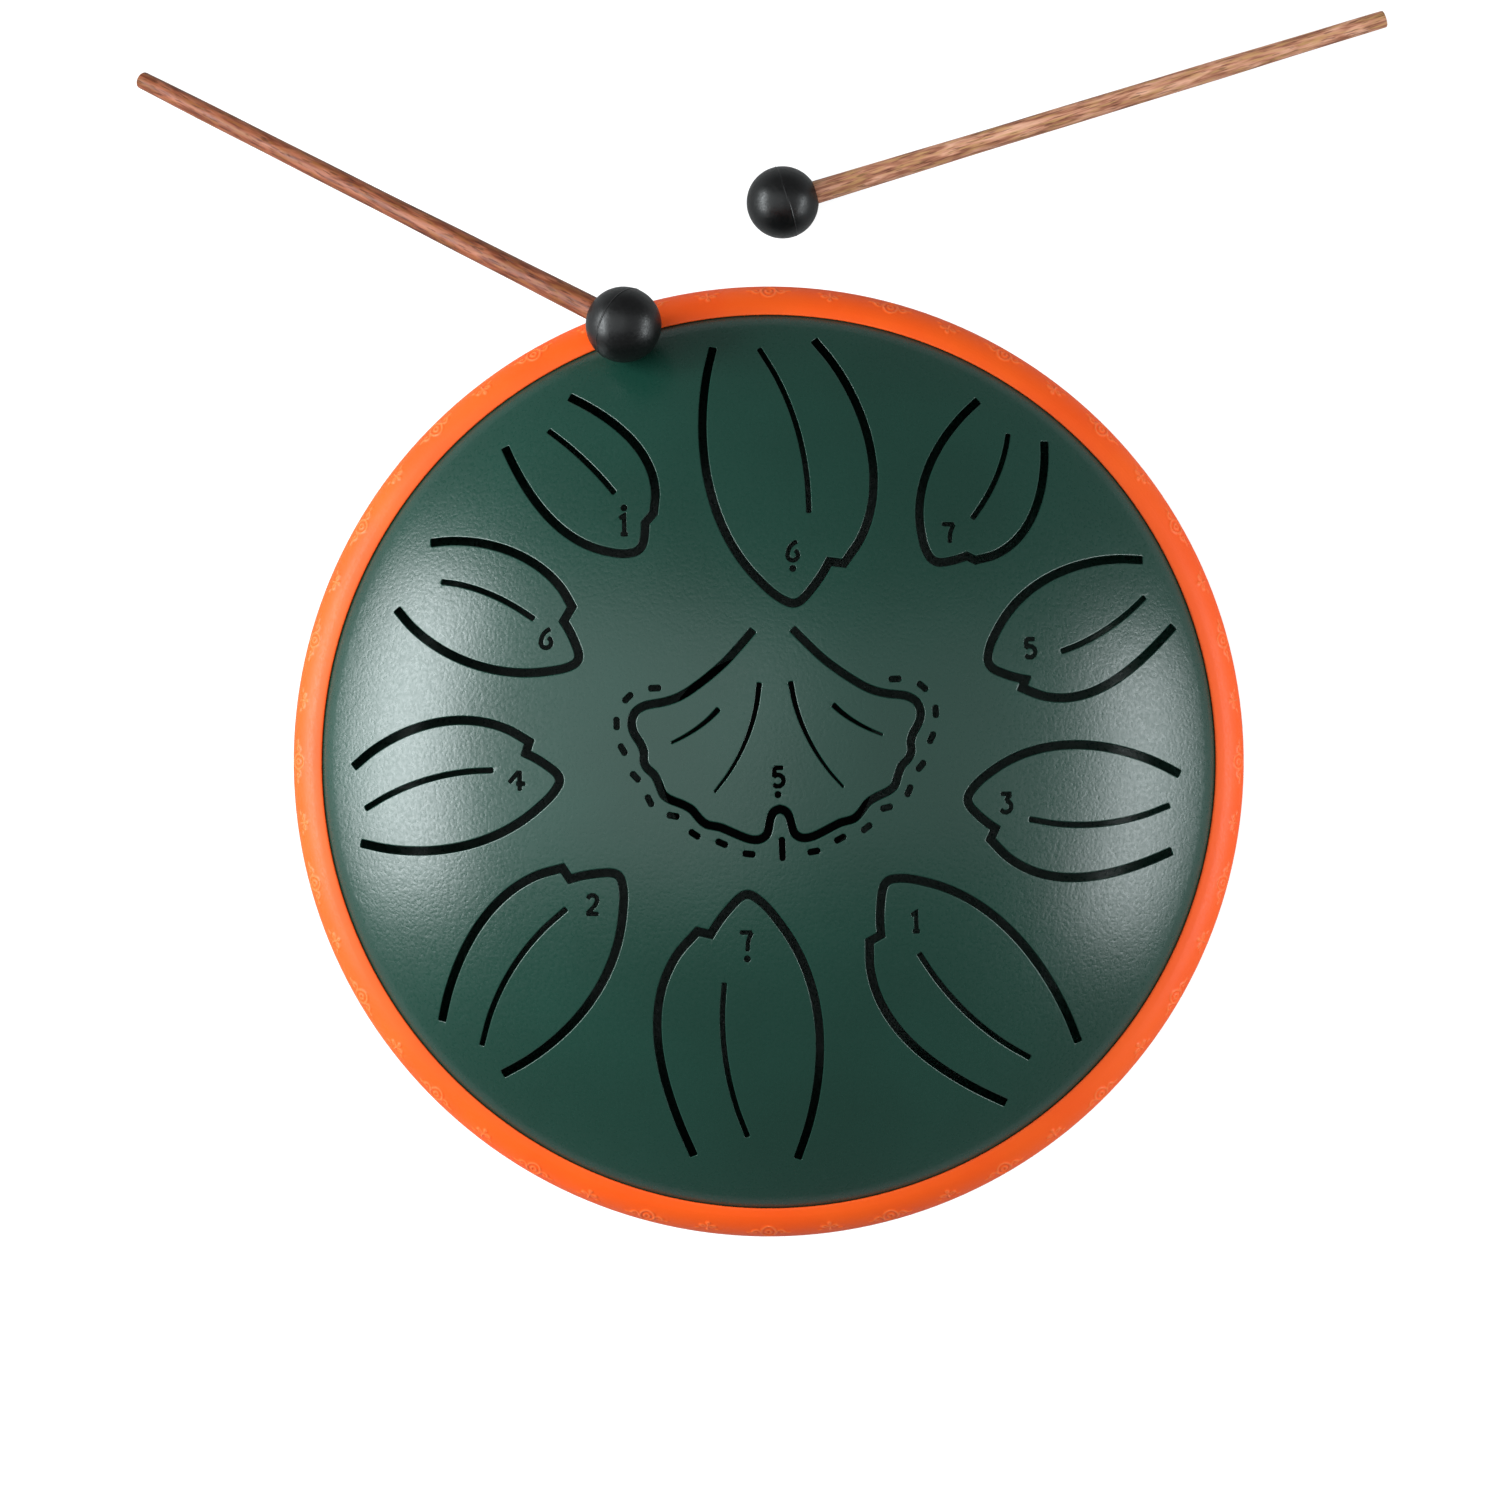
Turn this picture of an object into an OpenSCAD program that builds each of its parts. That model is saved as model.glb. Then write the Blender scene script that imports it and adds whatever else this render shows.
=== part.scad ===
// Steel tongue drum: two pressed bowls, a rubber ring round their seam, four feet and two mallets.
// Millimetres. The origin is the middle of the sound hole, on the outside of the base, with +Z up.

/* [Bowls] */
// Radius of both bowls where the wall meets the flange
shell_r = 121; // [116:0.5:126]
// Thickness of the sheet steel
shell_t = 1.5; // [1.2:0.1:1.8]
// Steepness of the wall beside the flange, in degrees
wall_slope = 80; // [76:1:83]
// Width of the flange outside the wall
flange_w = 1.8; // [1.4:0.1:2.2]
// Height of the upper bowl above the seam
dome_h = 56; // [50:1:66]
// Rise of the crown above the top of the shoulder's circle
crown_rise = 37; // [34:0.5:39]
// Radius of the upper bowl's shoulder
dome_round_r = 18; // [15:0.5:20]
// Depth of the lower bowl below the seam
pan_h = 54; // [48:1:64]
// Radius of the lower bowl's shoulder
pan_round_r = 45; // [34:1:48]
// Radius of the sound hole in the base
sound_hole_r = 30; // [22:1:36]

/* [Seam] */
// Radius of the weld bead round the two flanges
weld_r = 0.9; // [0.7:0.1:1.1]
// Room between the bead and the rubber ring
weld_gap = 0.3; // [0.2:0.1:0.6]

/* [Rim ring] */
// Thickness of the rubber outside the weld bead
ring_wall = 3; // [2.5:0.5:7]
// Height of the ring
ring_h = 20; // [16:0.5:22]
// Radius of the ring's rounded outside
ring_bulge_r = 10; // [9:0.5:14]
// Room between the ring's lips and the walls and shoulders that they hug
lip_gap = 0.3; // [0.1:0.1:0.8]

/* [Tongues] */
// Width of the slot round a tongue
slot_w = 2.2; // [1.6:0.1:2.8]
// Width of the slot down the middle of a tongue
vein_w = 1.4; // [1:0.1:1.8]
// Width of the slot round the middle leaf
leaf_slot_w = 2.1; // [1.6:0.1:2.4]
// Width at the thin end of the middle leaf's veins
vein_tip_w = 0.6; // [0.4:0.1:1]
// Width of the short dashes round the middle leaf
dash_w = 1.7; // [1.2:0.1:2.1]
// Length of a short dash
dash_len = 3.4; // [2.6:0.1:4]
// Length of the upright dash below the middle leaf
stem_dash_len = 6.2; // [5:0.1:8]
// Length of line that the rounding of a tongue's tip takes on each side
tip_cut = 2.6; // [1.5:0.1:3]
// Turn of the middle leaf, in degrees
leaf_turn = 2.2; // [-4:0.2:6]

/* [Figures] */
// Height of a figure
figure_h = 5.8; // [4.8:0.1:6.6]
// Width of a figure's strokes
figure_w = 1.15; // [0.9:0.05:1.3]
// Radius of an octave dot
dot_r = 0.9; // [0.7:0.1:1.2]

/* [Feet] */
// Height of a rubber foot
foot_h = 8; // [6:0.5:12]
// Radius of a foot at the base of the drum
foot_top_r = 9; // [8:0.5:11]
// Radius of a foot on the floor
foot_floor_r = 7.8; // [7.2:0.1:8]
// Height of the chamfer round a foot's floor edge
foot_chamfer = 0.8; // [0.4:0.1:1.2]
// Distance from a foot to the edge of the flat base
foot_inset = 4.25; // [3:0.25:12]
// Direction from the drum's axis to the first foot, in degrees, so that no slot looks down on a nut
foot_turn = 20; // [18:1:22]
// Radius of the recess that hides the screw's head
recess_r = 4.6; // [4.3:0.1:5]
// Depth of that recess
recess_depth = 4; // [3:0.5:5]

/* [Screws] */
// Radius of the screw's shank
screw_r = 2; // [1.5:0.1:2.3]
// Radius of the screw's head
screw_head_r = 3.8; // [3.4:0.1:4.1]
// Height of the screw's head
screw_head_h = 2.4; // [1.8:0.1:2.8]
// Length of the screw's shank past the nut
screw_end = 1.4; // [0.5:0.1:3]
// Room round the shank in the foot and in the base
screw_gap = 0.2; // [0.1:0.05:0.4]
// Width of the cross slot in the head
cross_w = 0.9; // [0.6:0.1:1.2]
// Length of the cross slot in the head
cross_len = 4; // [3:0.1:4.6]
// Depth of the cross slot
cross_depth = 1.2; // [0.8:0.1:1.4]
// Radius of the washer
washer_r = 4.5; // [4:0.1:6]
// Thickness of the washer
washer_t = 0.8; // [0.5:0.1:1.5]
// Nut across its corners
nut_corner_w = 8; // [7:0.1:9]
// Height of the nut
nut_h = 3.2; // [2.4:0.1:4]

/* [Mallets] */
// Radius of a mallet's rubber ball
ball_r = 10; // [8:0.5:12]
// Distance from the middle of the ball to the end of the stick
mallet_reach = 176; // [160:1:190]
// Radius of the stick inside the ball
stick_head_r = 3.2; // [2.8:0.1:3.8]
// Radius of the stick at its free end
stick_tail_r = 2.5; // [2:0.1:2.7]
// Chamfer round the free end of the stick
stick_chamfer = 0.5; // [0.3:0.1:0.8]
// How far the stick goes into the ball
stick_depth = 14; // [10:0.5:15]
// Room for glue round the stick in the ball
glue_gap = 0.2; // [0.1:0.05:0.4]
// Gap between the leaning ball and the drum
rest_gap = 0.3; // [0.2:0.1:0.6]
// Where on the dome's curve the leaning ball rests, in degrees from the top
lean_on = 40.5; // [36:0.5:50]
// Direction from the drum's axis to the leaning ball, in degrees
lean_at = 108.4; // [100:0.2:116]
// Direction in which the leaning stick points on the plan, in degrees
lean_heading = 151.2; // [146:0.2:158]
// Distance from the ring to the lying ball
lying_gap = 18; // [12:0.5:30]
// Direction from the drum's axis to the lying ball, in degrees
lying_at = 88.5; // [84:0.5:90]
// Direction in which the lying stick points, in degrees
lying_heading = 17.2; // [10:0.2:24]

/* [Hidden] */
$fn = 144;
FEET = [1, 2, 3, 4];
SIDES = ["left", "right"];

// Colours, as the photograph shows them
green_coat = [0.16, 0.29, 0.26];
orange_rubber = [0.98, 0.38, 0.17];
black_rubber = [0.06, 0.06, 0.06];
bare_steel = [0.72, 0.73, 0.75];
reddish_wood = [0.62, 0.36, 0.25];

// One overrun serves every cut
overrun = 1;
// How far a shoulder's circle stands proud of the wall and the crown, so that they cross cleanly
crease = 0.01;
floor_z = -foot_h;
seam_z = pan_h;
flange_r = shell_r + flange_w;
channel_r = flange_r + weld_r + weld_gap;
ring_r = channel_r + ring_wall;

// Steps along a curve: a tongue's side, the line between its notch and tip, its rounded tip, a span of
// the middle leaf's outline, and a vein
side_steps = 8;
short_steps = 4;
corner_steps = 3;
span_steps = 2;
vein_steps = 5;
// Steps along each of the ring's two lips
lip_steps = 8;

// Shoulder circles of the two bowls, above the seam for the dome and below it for the pan.
// Each touches the sloping wall, and a larger shoulder than the wall leaves room for is limited.
function widest_round(h) = (h - 2 * shell_t) / (1 - cos(wall_slope));
dome_round = min(dome_round_r, widest_round(dome_h - crown_rise));
pan_round = min(pan_round_r, widest_round(pan_h));
function shoulder_x(z, r) = shell_r - (r - cos(wall_slope) * (shell_t - z)) / sin(wall_slope);
dome_round_z = dome_h - crown_rise - dome_round;
dome_round_x = shoulder_x(dome_round_z, dome_round);
pan_round_z = pan_h - pan_round;
pan_round_x = shoulder_x(pan_round_z, pan_round);
foot_pitch_r = pan_round_x - foot_top_r - foot_inset;
// The crown is the circle through the apex that touches the shoulder from outside.
crown_r = (pow(dome_round_x, 2) + pow(dome_h - dome_round_z, 2) - pow(dome_round, 2)) / (2 * crown_rise);
crown_z = dome_h - crown_r;
crown_angle = asin(dome_round_x / (crown_r - dome_round));

// Outlines are in shares of shell_r, on the plan of the drum with +Y at the top of the photograph.
// A tongue has its plain side from root to tip, its notched side from root to notch, the inner corner
// of the notch, its vein, its figure and the figure's place. The last number is 1 for an octave dot
// above the figure, -1 for one below it and 0 for none.
tongue_shares = [
    [[[-0.575, 0.685], [-0.508, 0.567], [-0.410, 0.475], [-0.275, 0.448]],
     [[-0.435, 0.795], [-0.337, 0.733], [-0.263, 0.646], [-0.248, 0.533]],
     [-0.266, 0.512], [[-0.480, 0.720], [-0.400, 0.652], [-0.332, 0.577]],
     1, [-0.312, 0.508], 1],
    [[[-0.810, 0.332], [-0.696, 0.236], [-0.550, 0.192], [-0.402, 0.213]],
     [[-0.736, 0.476], [-0.614, 0.471], [-0.500, 0.423], [-0.422, 0.332]],
     [-0.440, 0.301], [[-0.710, 0.390], [-0.608, 0.364], [-0.504, 0.306]],
     6, [-0.478, 0.264], 0],
    [[[-0.890, -0.178], [-0.725, -0.192], [-0.566, -0.148], [-0.440, -0.037]],
     [[-0.906, -0.012], [-0.786, 0.064], [-0.647, 0.089], [-0.513, 0.043]],
     [-0.521, 0.018], [[-0.879, -0.103], [-0.742, -0.040], [-0.592, -0.018]],
     4, [-0.539, -0.040], 0],
    [[[-0.580, -0.681], [-0.430, -0.570], [-0.334, -0.419], [-0.316, -0.237]],
     [[-0.713, -0.566], [-0.665, -0.420], [-0.576, -0.295], [-0.442, -0.227]],
     [-0.426, -0.251], [[-0.625, -0.618], [-0.556, -0.449], [-0.434, -0.314]],
     2, [-0.378, -0.305], 0],
    [[[0.062, -0.864], [0.108, -0.653], [0.080, -0.447], [-0.046, -0.274]],
     [[-0.163, -0.858], [-0.224, -0.688], [-0.236, -0.513], [-0.153, -0.361]],
     [-0.125, -0.368], [[-0.046, -0.814], [-0.093, -0.645], [-0.096, -0.472]],
     7, [-0.047, -0.383], -1],
    [[[0.675, -0.612], [0.581, -0.437], [0.437, -0.299], [0.246, -0.249]],
     [[0.517, -0.744], [0.370, -0.660], [0.254, -0.542], [0.214, -0.383]],
     [0.239, -0.369], [[0.568, -0.644], [0.429, -0.544], [0.320, -0.409]],
     1, [0.313, -0.342], 0],
    [[[0.895, -0.027], [0.729, 0.031], [0.558, 0.022], [0.416, -0.080]],
     [[0.878, -0.195], [0.737, -0.241], [0.594, -0.243], [0.473, -0.166]],
     [0.484, -0.142], [[0.872, -0.095], [0.716, -0.134], [0.557, -0.123]],
     3, [0.507, -0.088], 0],
    [[[0.816, 0.440], [0.661, 0.422], [0.533, 0.344], [0.463, 0.207]],
     [[0.884, 0.296], [0.786, 0.204], [0.671, 0.143], [0.542, 0.158]],
     [0.550, 0.177], [[0.819, 0.359], [0.727, 0.285], [0.628, 0.237]],
     5, [0.559, 0.244], 0],
    [[[0.457, 0.788], [0.369, 0.684], [0.324, 0.558], [0.349, 0.425]],
     [[0.601, 0.699], [0.589, 0.586], [0.540, 0.486], [0.443, 0.433]],
     [0.424, 0.442], [[0.521, 0.714], [0.492, 0.615], [0.437, 0.523]],
     7, [0.387, 0.491], 0],
    [[[-0.122, 0.904], [-0.143, 0.693], [-0.091, 0.484], [0.055, 0.331]],
     [[0.098, 0.921], [0.192, 0.767], [0.224, 0.588], [0.160, 0.424]],
     [0.128, 0.428], [[-0.022, 0.901], [0.058, 0.728], [0.085, 0.533]],
     6, [0.050, 0.450], -1]
];
// How far the line between notch and tip bows outward, as a share of its length
bow_share = 0.05;

// The middle leaf is a ginkgo leaf. Its right half runs from the arm's end to the notch at the bottom,
// in shares of shell_r from that notch, and is mirrored for the left half.
leaf_at_shares = [0.022, -0.100];
leaf_half_shares = [
    [0.041, 0.383], [0.105, 0.316], [0.166, 0.269], [0.206, 0.246], [0.242, 0.236], [0.276, 0.231],
    [0.299, 0.218], [0.308, 0.195], [0.303, 0.172], [0.290, 0.150], [0.284, 0.131], [0.285, 0.113],
    [0.278, 0.097], [0.263, 0.082], [0.254, 0.061], [0.246, 0.040], [0.230, 0.028], [0.209, 0.019],
    [0.187, 0.006], [0.172, -0.013], [0.156, -0.027], [0.128, -0.034], [0.098, -0.048], [0.068, -0.061],
    [0.045, -0.063], [0.029, -0.052], [0.023, -0.030], [0.016, -0.009], [0, 0]
];
leaf_vein_shares = [
    [[0.121, 0.218], [0.166, 0.180], [0.225, 0.149]],
    [[0.033, 0.270], [0.051, 0.187], [0.086, 0.110], [0.137, 0.041]]
];
// Place and turn of each short dash on the right, in shares of shell_r from the notch and in degrees
leaf_dash_shares = [
    [[0.256, 0.267], 0], [[0.314, 0.249], -42], [[0.340, 0.195], 90], [[0.329, 0.139], 62],
    [[0.304, 0.080], 48], [[0.276, 0.028], 65], [[0.227, -0.006], 12], [[0.183, -0.047], 36],
    [[0.126, -0.068], 26], [[0.069, -0.093], 8]
];
stem_dash_shares = [0.002, -0.085];
// How much of a dash's width is cut off at each of its corners
dash_cut_share = 0.28;
leaf_figure_shares = [-0.004, 0.068];

// Strokes of the figures 1 to 7, in shares of figure_h from the middle of the figure.
// 4 and 6 stay open, so that no island of steel falls out.
function arc(c, r, from, to, steps) =
    [for (i = [0 : steps]) let (a = from + (to - from) * i / steps) [c[0] + r * cos(a), c[1] + r * sin(a)]];
stroke_shares = [
    [[[-0.21, 0.30], [0.01, 0.44], [0.03, -0.40]], [[-0.14, -0.42], [0.19, -0.42]]],
    [concat(arc([0, 0.20], 0.22, 165, -35, 6), [[-0.22, -0.40]]), [[-0.28, -0.42], [0.28, -0.42]]],
    [[[-0.26, 0.41], [0.24, 0.41]], [[0.18, 0.38], [-0.02, 0.10]], arc([-0.03, -0.16], 0.26, 88, -150, 7)],
    [[[0.06, 0.40], [-0.38, -0.10]], [[0.10, 0.44], [0.10, -0.46]], [[-0.06, -0.14], [0.36, -0.14]]],
    [[[-0.18, 0.41], [0.24, 0.41]], [[-0.15, 0.41], [-0.17, 0.00]], arc([0, -0.16], 0.26, 138, -142, 8)],
    [concat([[0.20, 0.44], [0.02, 0.34], [-0.15, 0.14]], arc([0, -0.18], 0.24, 158, 428, 9))],
    [[[-0.27, 0.32], [-0.24, 0.41], [0.22, 0.41]], [[0.20, 0.41], [0.05, 0.05], [0.01, -0.44]]]
];
// Distance of an octave dot from the middle of its figure, as a share of figure_h
dot_share = 0.78;

// Sum of a list of points, and the curve through three or four points spaced evenly along it
function total(list, i = 0) = i == len(list) - 1 ? list[i] : list[i] + total(list, i + 1);
function weight(i, n, u, j = 0) = j > n ? 1 : (i == j ? 1 : (u - j) / (i - j)) * weight(i, n, u, j + 1);
function through(pts, t) =
    let (n = len(pts) - 1) total([for (i = [0 : n]) pts[i] * weight(i, n, t * n)]);
// Quadratic curve from a to c, bending towards b
function bend(a, b, c, t) = a * pow(1 - t, 2) + b * 2 * t * (1 - t) + c * pow(t, 2);
// Smooth line through all the points, which the ends leave straight
function smooth(pts, steps) = concat(
    [for (i = [0 : len(pts) - 2], k = [0 : steps - 1])
        let (a = pts[max(i - 1, 0)], b = pts[i], c = pts[i + 1], d = pts[min(i + 2, len(pts) - 1)],
             t = k / steps)
        (b * 2 + (c - a) * t + (a * 2 - b * 5 + c * 4 - d) * pow(t, 2)
            + (b * 3 - a - c * 3 + d) * pow(t, 3)) / 2],
    [pts[len(pts) - 1]]);

// Outline of a line drawn with a width that goes evenly from w0 to w1
function unit(v) = v / norm(v);
function left_of(v) = [-v[1], v[0]];
function offset_at(line, i) =
    let (n = len(line) - 1,
         before = left_of(unit(line[max(i, 1)] - line[max(i, 1) - 1])),
         after = left_of(unit(line[min(i, n - 1) + 1] - line[min(i, n - 1)])))
    (before + after) / (1 + before * after);
function drawn(line, w0, w1) =
    let (n = len(line) - 1,
         offsets = [for (i = [0 : n]) offset_at(line, i) * (w0 + (w1 - w0) * i / n) / 2])
    concat([for (i = [0 : n]) line[i] - offsets[i]], [for (i = [n : -1 : 0]) line[i] + offsets[i]]);
module stroke(line, w0, w1) {
    polygon(drawn(line, w0, w1));
}
function vein_line(pts) = [for (i = [0 : vein_steps]) through(pts, i / vein_steps) * shell_r];

// Line of the slot round one tongue, from the root of its plain side to the root of its notched side
function tongue_line(tongue) =
    let (plain = tongue[0] * shell_r, notched = tongue[1] * shell_r, inner = tongue[2] * shell_r,
         tip = plain[3], notch = notched[3],
         outward = unit(notch - through(plain, 2 / 3)),
         middle = (tip + inner) / 2 + outward * norm(tip - inner) * 2 * bow_share,
         plain_end = 1 - tip_cut / norm(tip - plain[0]),
         flank_start = tip_cut / norm(tip - inner))
    concat(
        [for (i = [0 : side_steps]) through(plain, plain_end * i / side_steps)],
        [for (i = [1 : corner_steps])
            bend(through(plain, plain_end), tip, bend(tip, middle, inner, flank_start),
                i / (corner_steps + 1))],
        [for (i = [0 : short_steps])
            bend(tip, middle, inner, flank_start + (1 - flank_start) * i / short_steps)],
        [for (i = [side_steps : -1 : 0]) through(notched, i / side_steps)]);

module tongue(tongue) {
    stroke(tongue_line(tongue), slot_w, slot_w);
    stroke(vein_line(tongue[3]), vein_w, vein_w);
    translate(tongue[5] * shell_r) figure(tongue[4]);
    if (tongue[6] != 0) translate(tongue[5] * shell_r + [0, tongue[6] * dot_share * figure_h]) circle(dot_r);
}

module figure(number) {
    for (line = stroke_shares[number - 1]) stroke(line * figure_h, figure_w, figure_w);
}

// A dash is a short bar whose corners are cut off at 45 degrees.
module dash(length) {
    x = length / 2;
    y = dash_w / 2;
    cut = dash_w * dash_cut_share;
    polygon([[cut - x, -y], [x - cut, -y], [x, cut - y], [x, y - cut],
        [x - cut, y], [cut - x, y], [-x, y - cut], [-x, cut - y]]);
}

module middle_leaf() {
    half = leaf_half_shares * shell_r;
    mirrored = [for (i = [len(half) - 1 : -1 : 0]) [-half[i][0], half[i][1]]];
    whole = concat(half, [for (i = [1 : len(mirrored) - 1]) mirrored[i]]);
    translate(leaf_at_shares * shell_r) rotate(leaf_turn) {
        stroke(smooth(whole, span_steps), leaf_slot_w, leaf_slot_w);
        for (side = [0, 1]) mirror([side, 0]) {
            for (vein = leaf_vein_shares) stroke(vein_line(vein), vein_w, vein_tip_w);
            for (one = leaf_dash_shares) translate(one[0] * shell_r) rotate(one[1]) dash(dash_len);
        }
        translate(stem_dash_shares * shell_r) rotate(90) dash(stem_dash_len);
    }
    translate((leaf_at_shares + leaf_figure_shares) * shell_r) {
        figure(5);
        translate([0, -dot_share * figure_h]) circle(dot_r);
    }
}

// What a shoulder and its wall enclose, drawn from the seam up, with the surface moved in by inset.
// The direction that the shoulder starts at is in degrees from straight up.
module under_wall(centre, r, from, inset) {
    foot_x = shell_r + shell_t / tan(wall_slope) - inset / sin(wall_slope);
    far = 2 * crown_r;
    translate(centre) circle(r + crease - inset);
    polygon([[0, -far], [foot_x, -far], [foot_x, 0],
        centre + (r - inset) * [sin(wall_slope), cos(wall_slope)], centre,
        centre + far * [sin(from), cos(from)], [0, far]]);
}

// Everything from the seam up to a height, and from just below the seam for a bowl's hollow
module above_seam(height, inset) {
    bottom = inset > 0 ? -overrun : 0;
    translate([0, bottom]) square([2 * shell_r, height - bottom]);
}

module dome_inside(inset) {
    intersection() {
        translate([0, crown_z]) circle(crown_r - inset);
        under_wall([dome_round_x, dome_round_z], dome_round, crown_angle, inset);
        above_seam(2 * dome_h, inset);
    }
}

module pan_inside(inset) {
    intersection() {
        under_wall([pan_round_x, pan_round_z], pan_round, 0, inset);
        above_seam(pan_h - inset, inset);
    }
}

module flange_section() {
    translate([shell_r - shell_t / 2, 0]) square([flange_w + shell_t / 2, shell_t]);
}

module top_shell() {
    color(green_coat)
    translate([0, 0, seam_z])
    difference() {
        rotate_extrude() {
            difference() {
                dome_inside(0);
                dome_inside(shell_t);
            }
            flange_section();
        }
        translate([0, 0, shell_t]) linear_extrude(dome_h + overrun) {
            for (one = tongue_shares) tongue(one);
            middle_leaf();
        }
    }
}

module bottom_shell() {
    color(green_coat)
    difference() {
        translate([0, 0, seam_z]) mirror([0, 0, 1]) rotate_extrude() {
            difference() {
                pan_inside(0);
                pan_inside(shell_t);
            }
            flange_section();
        }
        translate([0, 0, -overrun]) cylinder(h = shell_t + 2 * overrun, r = sound_hole_r);
        at_each_foot() translate([0, 0, -overrun])
            cylinder(h = shell_t + 2 * overrun, r = screw_r + screw_gap);
    }
}

// How far from the axis a lip is at a height from the seam: along the sloping wall, then round the shoulder
function lip_x(z, centre, r) =
    z < centre[1] + r * cos(wall_slope)
        ? shell_r + (shell_t - z) / tan(wall_slope) + lip_gap
        : centre[0] + sqrt(pow(r + crease + lip_gap, 2) - pow(z - centre[1], 2));

module rim_ring() {
    bulge_r = max(ring_bulge_r, ring_h / 2);
    top = ring_h / 2;
    heights = [for (i = [0 : lip_steps]) top * i / lip_steps];
    upper_lip = [for (i = [lip_steps : -1 : 0])
        [lip_x(heights[i], [dome_round_x, dome_round_z], dome_round), heights[i]]];
    lower_lip = [for (i = [1 : lip_steps])
        [lip_x(heights[i], [pan_round_x, pan_round_z], pan_round), -heights[i]]];
    color(orange_rubber)
    translate([0, 0, seam_z])
    rotate_extrude() difference() {
        intersection() {
            translate([ring_r - bulge_r, 0]) circle(bulge_r);
            polygon(concat([[ring_r, -top], [ring_r, top]], upper_lip, lower_lip));
        }
        translate([0, -shell_t]) square([channel_r, 2 * shell_t]);
    }
}

module flange_weld() {
    color(bare_steel)
    translate([0, 0, seam_z])
    rotate_extrude() difference() {
        translate([flange_r, 0]) circle(weld_r);
        translate([0, -shell_t]) square([flange_r, 2 * shell_t]);
    }
}

module at_foot(i) {
    rotate(foot_turn + 360 / len(FEET) * (i - 1)) translate([foot_pitch_r, 0, 0]) children();
}

module at_each_foot() {
    for (i = FEET) at_foot(i) children();
}

module foot(i) {
    color(black_rubber)
    at_foot(i) difference() {
        rotate_extrude() polygon([[0, floor_z], [foot_floor_r - foot_chamfer, floor_z],
            [foot_floor_r, floor_z + foot_chamfer], [foot_top_r, 0], [0, 0]]);
        translate([0, 0, floor_z - overrun]) cylinder(h = foot_h + 2 * overrun, r = screw_r + screw_gap);
        translate([0, 0, floor_z - overrun]) cylinder(h = recess_depth + overrun, r = recess_r);
    }
}

module foot_screw(i) {
    head_z = floor_z + recess_depth;
    end_z = shell_t + washer_t + nut_h + screw_end;
    color(bare_steel)
    at_foot(i) difference() {
        union() {
            translate([0, 0, head_z - screw_head_h]) cylinder(h = screw_head_h, r = screw_head_r);
            translate([0, 0, head_z]) cylinder(h = end_z - head_z, r = screw_r);
        }
        translate([0, 0, head_z - screw_head_h - overrun]) for (turn = [0, 90]) rotate(turn)
            translate([-cross_len / 2, -cross_w / 2, 0]) cube([cross_len, cross_w, cross_depth + overrun]);
    }
}

module foot_washer(i) {
    color(bare_steel)
    at_foot(i) translate([0, 0, shell_t]) difference() {
        cylinder(h = washer_t, r = washer_r);
        translate([0, 0, -overrun]) cylinder(h = washer_t + 2 * overrun, r = screw_r + screw_gap);
    }
}

module foot_nut(i) {
    color(bare_steel)
    at_foot(i) translate([0, 0, shell_t + washer_t]) difference() {
        cylinder(h = nut_h, r = nut_corner_w / 2, $fn = 6);
        translate([0, 0, -overrun]) cylinder(h = nut_h + 2 * overrun, r = screw_r);
    }
}

// A mallet stands with the middle of its ball at the origin and its stick along +X.
module stick() {
    color(reddish_wood)
    rotate([0, 90, 0]) rotate_extrude() polygon([[0, ball_r - stick_depth],
        [stick_head_r, ball_r - stick_depth], [stick_head_r, ball_r],
        [stick_tail_r, mallet_reach - stick_chamfer],
        [stick_tail_r - stick_chamfer, mallet_reach], [0, mallet_reach]]);
}

module head() {
    color(black_rubber)
    rotate([0, 90, 0]) rotate_extrude() difference() {
        circle(ball_r);
        translate([-ball_r - overrun, -ball_r - overrun]) square([ball_r + overrun, 2 * (ball_r + overrun)]);
        translate([-overrun, ball_r - stick_depth])
            square([stick_head_r + glue_gap + overrun, stick_depth + overrun]);
    }
}

// The left mallet leans: its ball rests on the dome and the end of its stick on the floor. The right one
// lies on the floor on its ball and the end of its stick.
rests_on_crown = lean_on < crown_angle;
lean_reach = (rests_on_crown ? crown_r : dome_round + crease) + ball_r + rest_gap;
lean_r = (rests_on_crown ? 0 : dome_round_x) + lean_reach * sin(lean_on);
lean_z = seam_z + (rests_on_crown ? crown_z : dome_round_z) + lean_reach * cos(lean_on);
lying_r = ring_r + lying_gap + ball_r;
function drop_angle(z) = asin((z - floor_z) / norm([mallet_reach, stick_tail_r]))
    - atan(stick_tail_r / mallet_reach);
module at_mallet(side) {
    if (side == "left") {
        translate([lean_r * cos(lean_at), lean_r * sin(lean_at), lean_z])
            rotate([0, drop_angle(lean_z), lean_heading]) children();
    } else {
        translate([lying_r * cos(lying_at), lying_r * sin(lying_at), floor_z + ball_r])
            rotate([0, drop_angle(floor_z + ball_r), lying_heading]) children();
    }
}

top_shell();
bottom_shell();
rim_ring();
flange_weld();
for (i = FEET) {
    foot(i);
    foot_screw(i);
    foot_washer(i);
    foot_nut(i);
}
for (s = SIDES) {
    at_mallet(s) stick();
    at_mallet(s) head();
}
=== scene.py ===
# %% [markdown]
# A steel tongue drum, seen from straight above, with its two mallets.
#
# The drum is two pressed steel bowls welded at the rim. Ten leaf-shaped tongues and a ginkgo leaf are cut
# through the upper bowl, an orange rubber ring hides the seam, and four rubber feet hold the drum off the
# table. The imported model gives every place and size. This script gives each piece its finished shape and
# its finish: rounded cut edges, a pebbled powder coat, moulded rubber, oiled wood and zinc-plated steel.

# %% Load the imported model
from math import atan2, ceil, cos, hypot, pi, radians, sin, sqrt, tan

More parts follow.
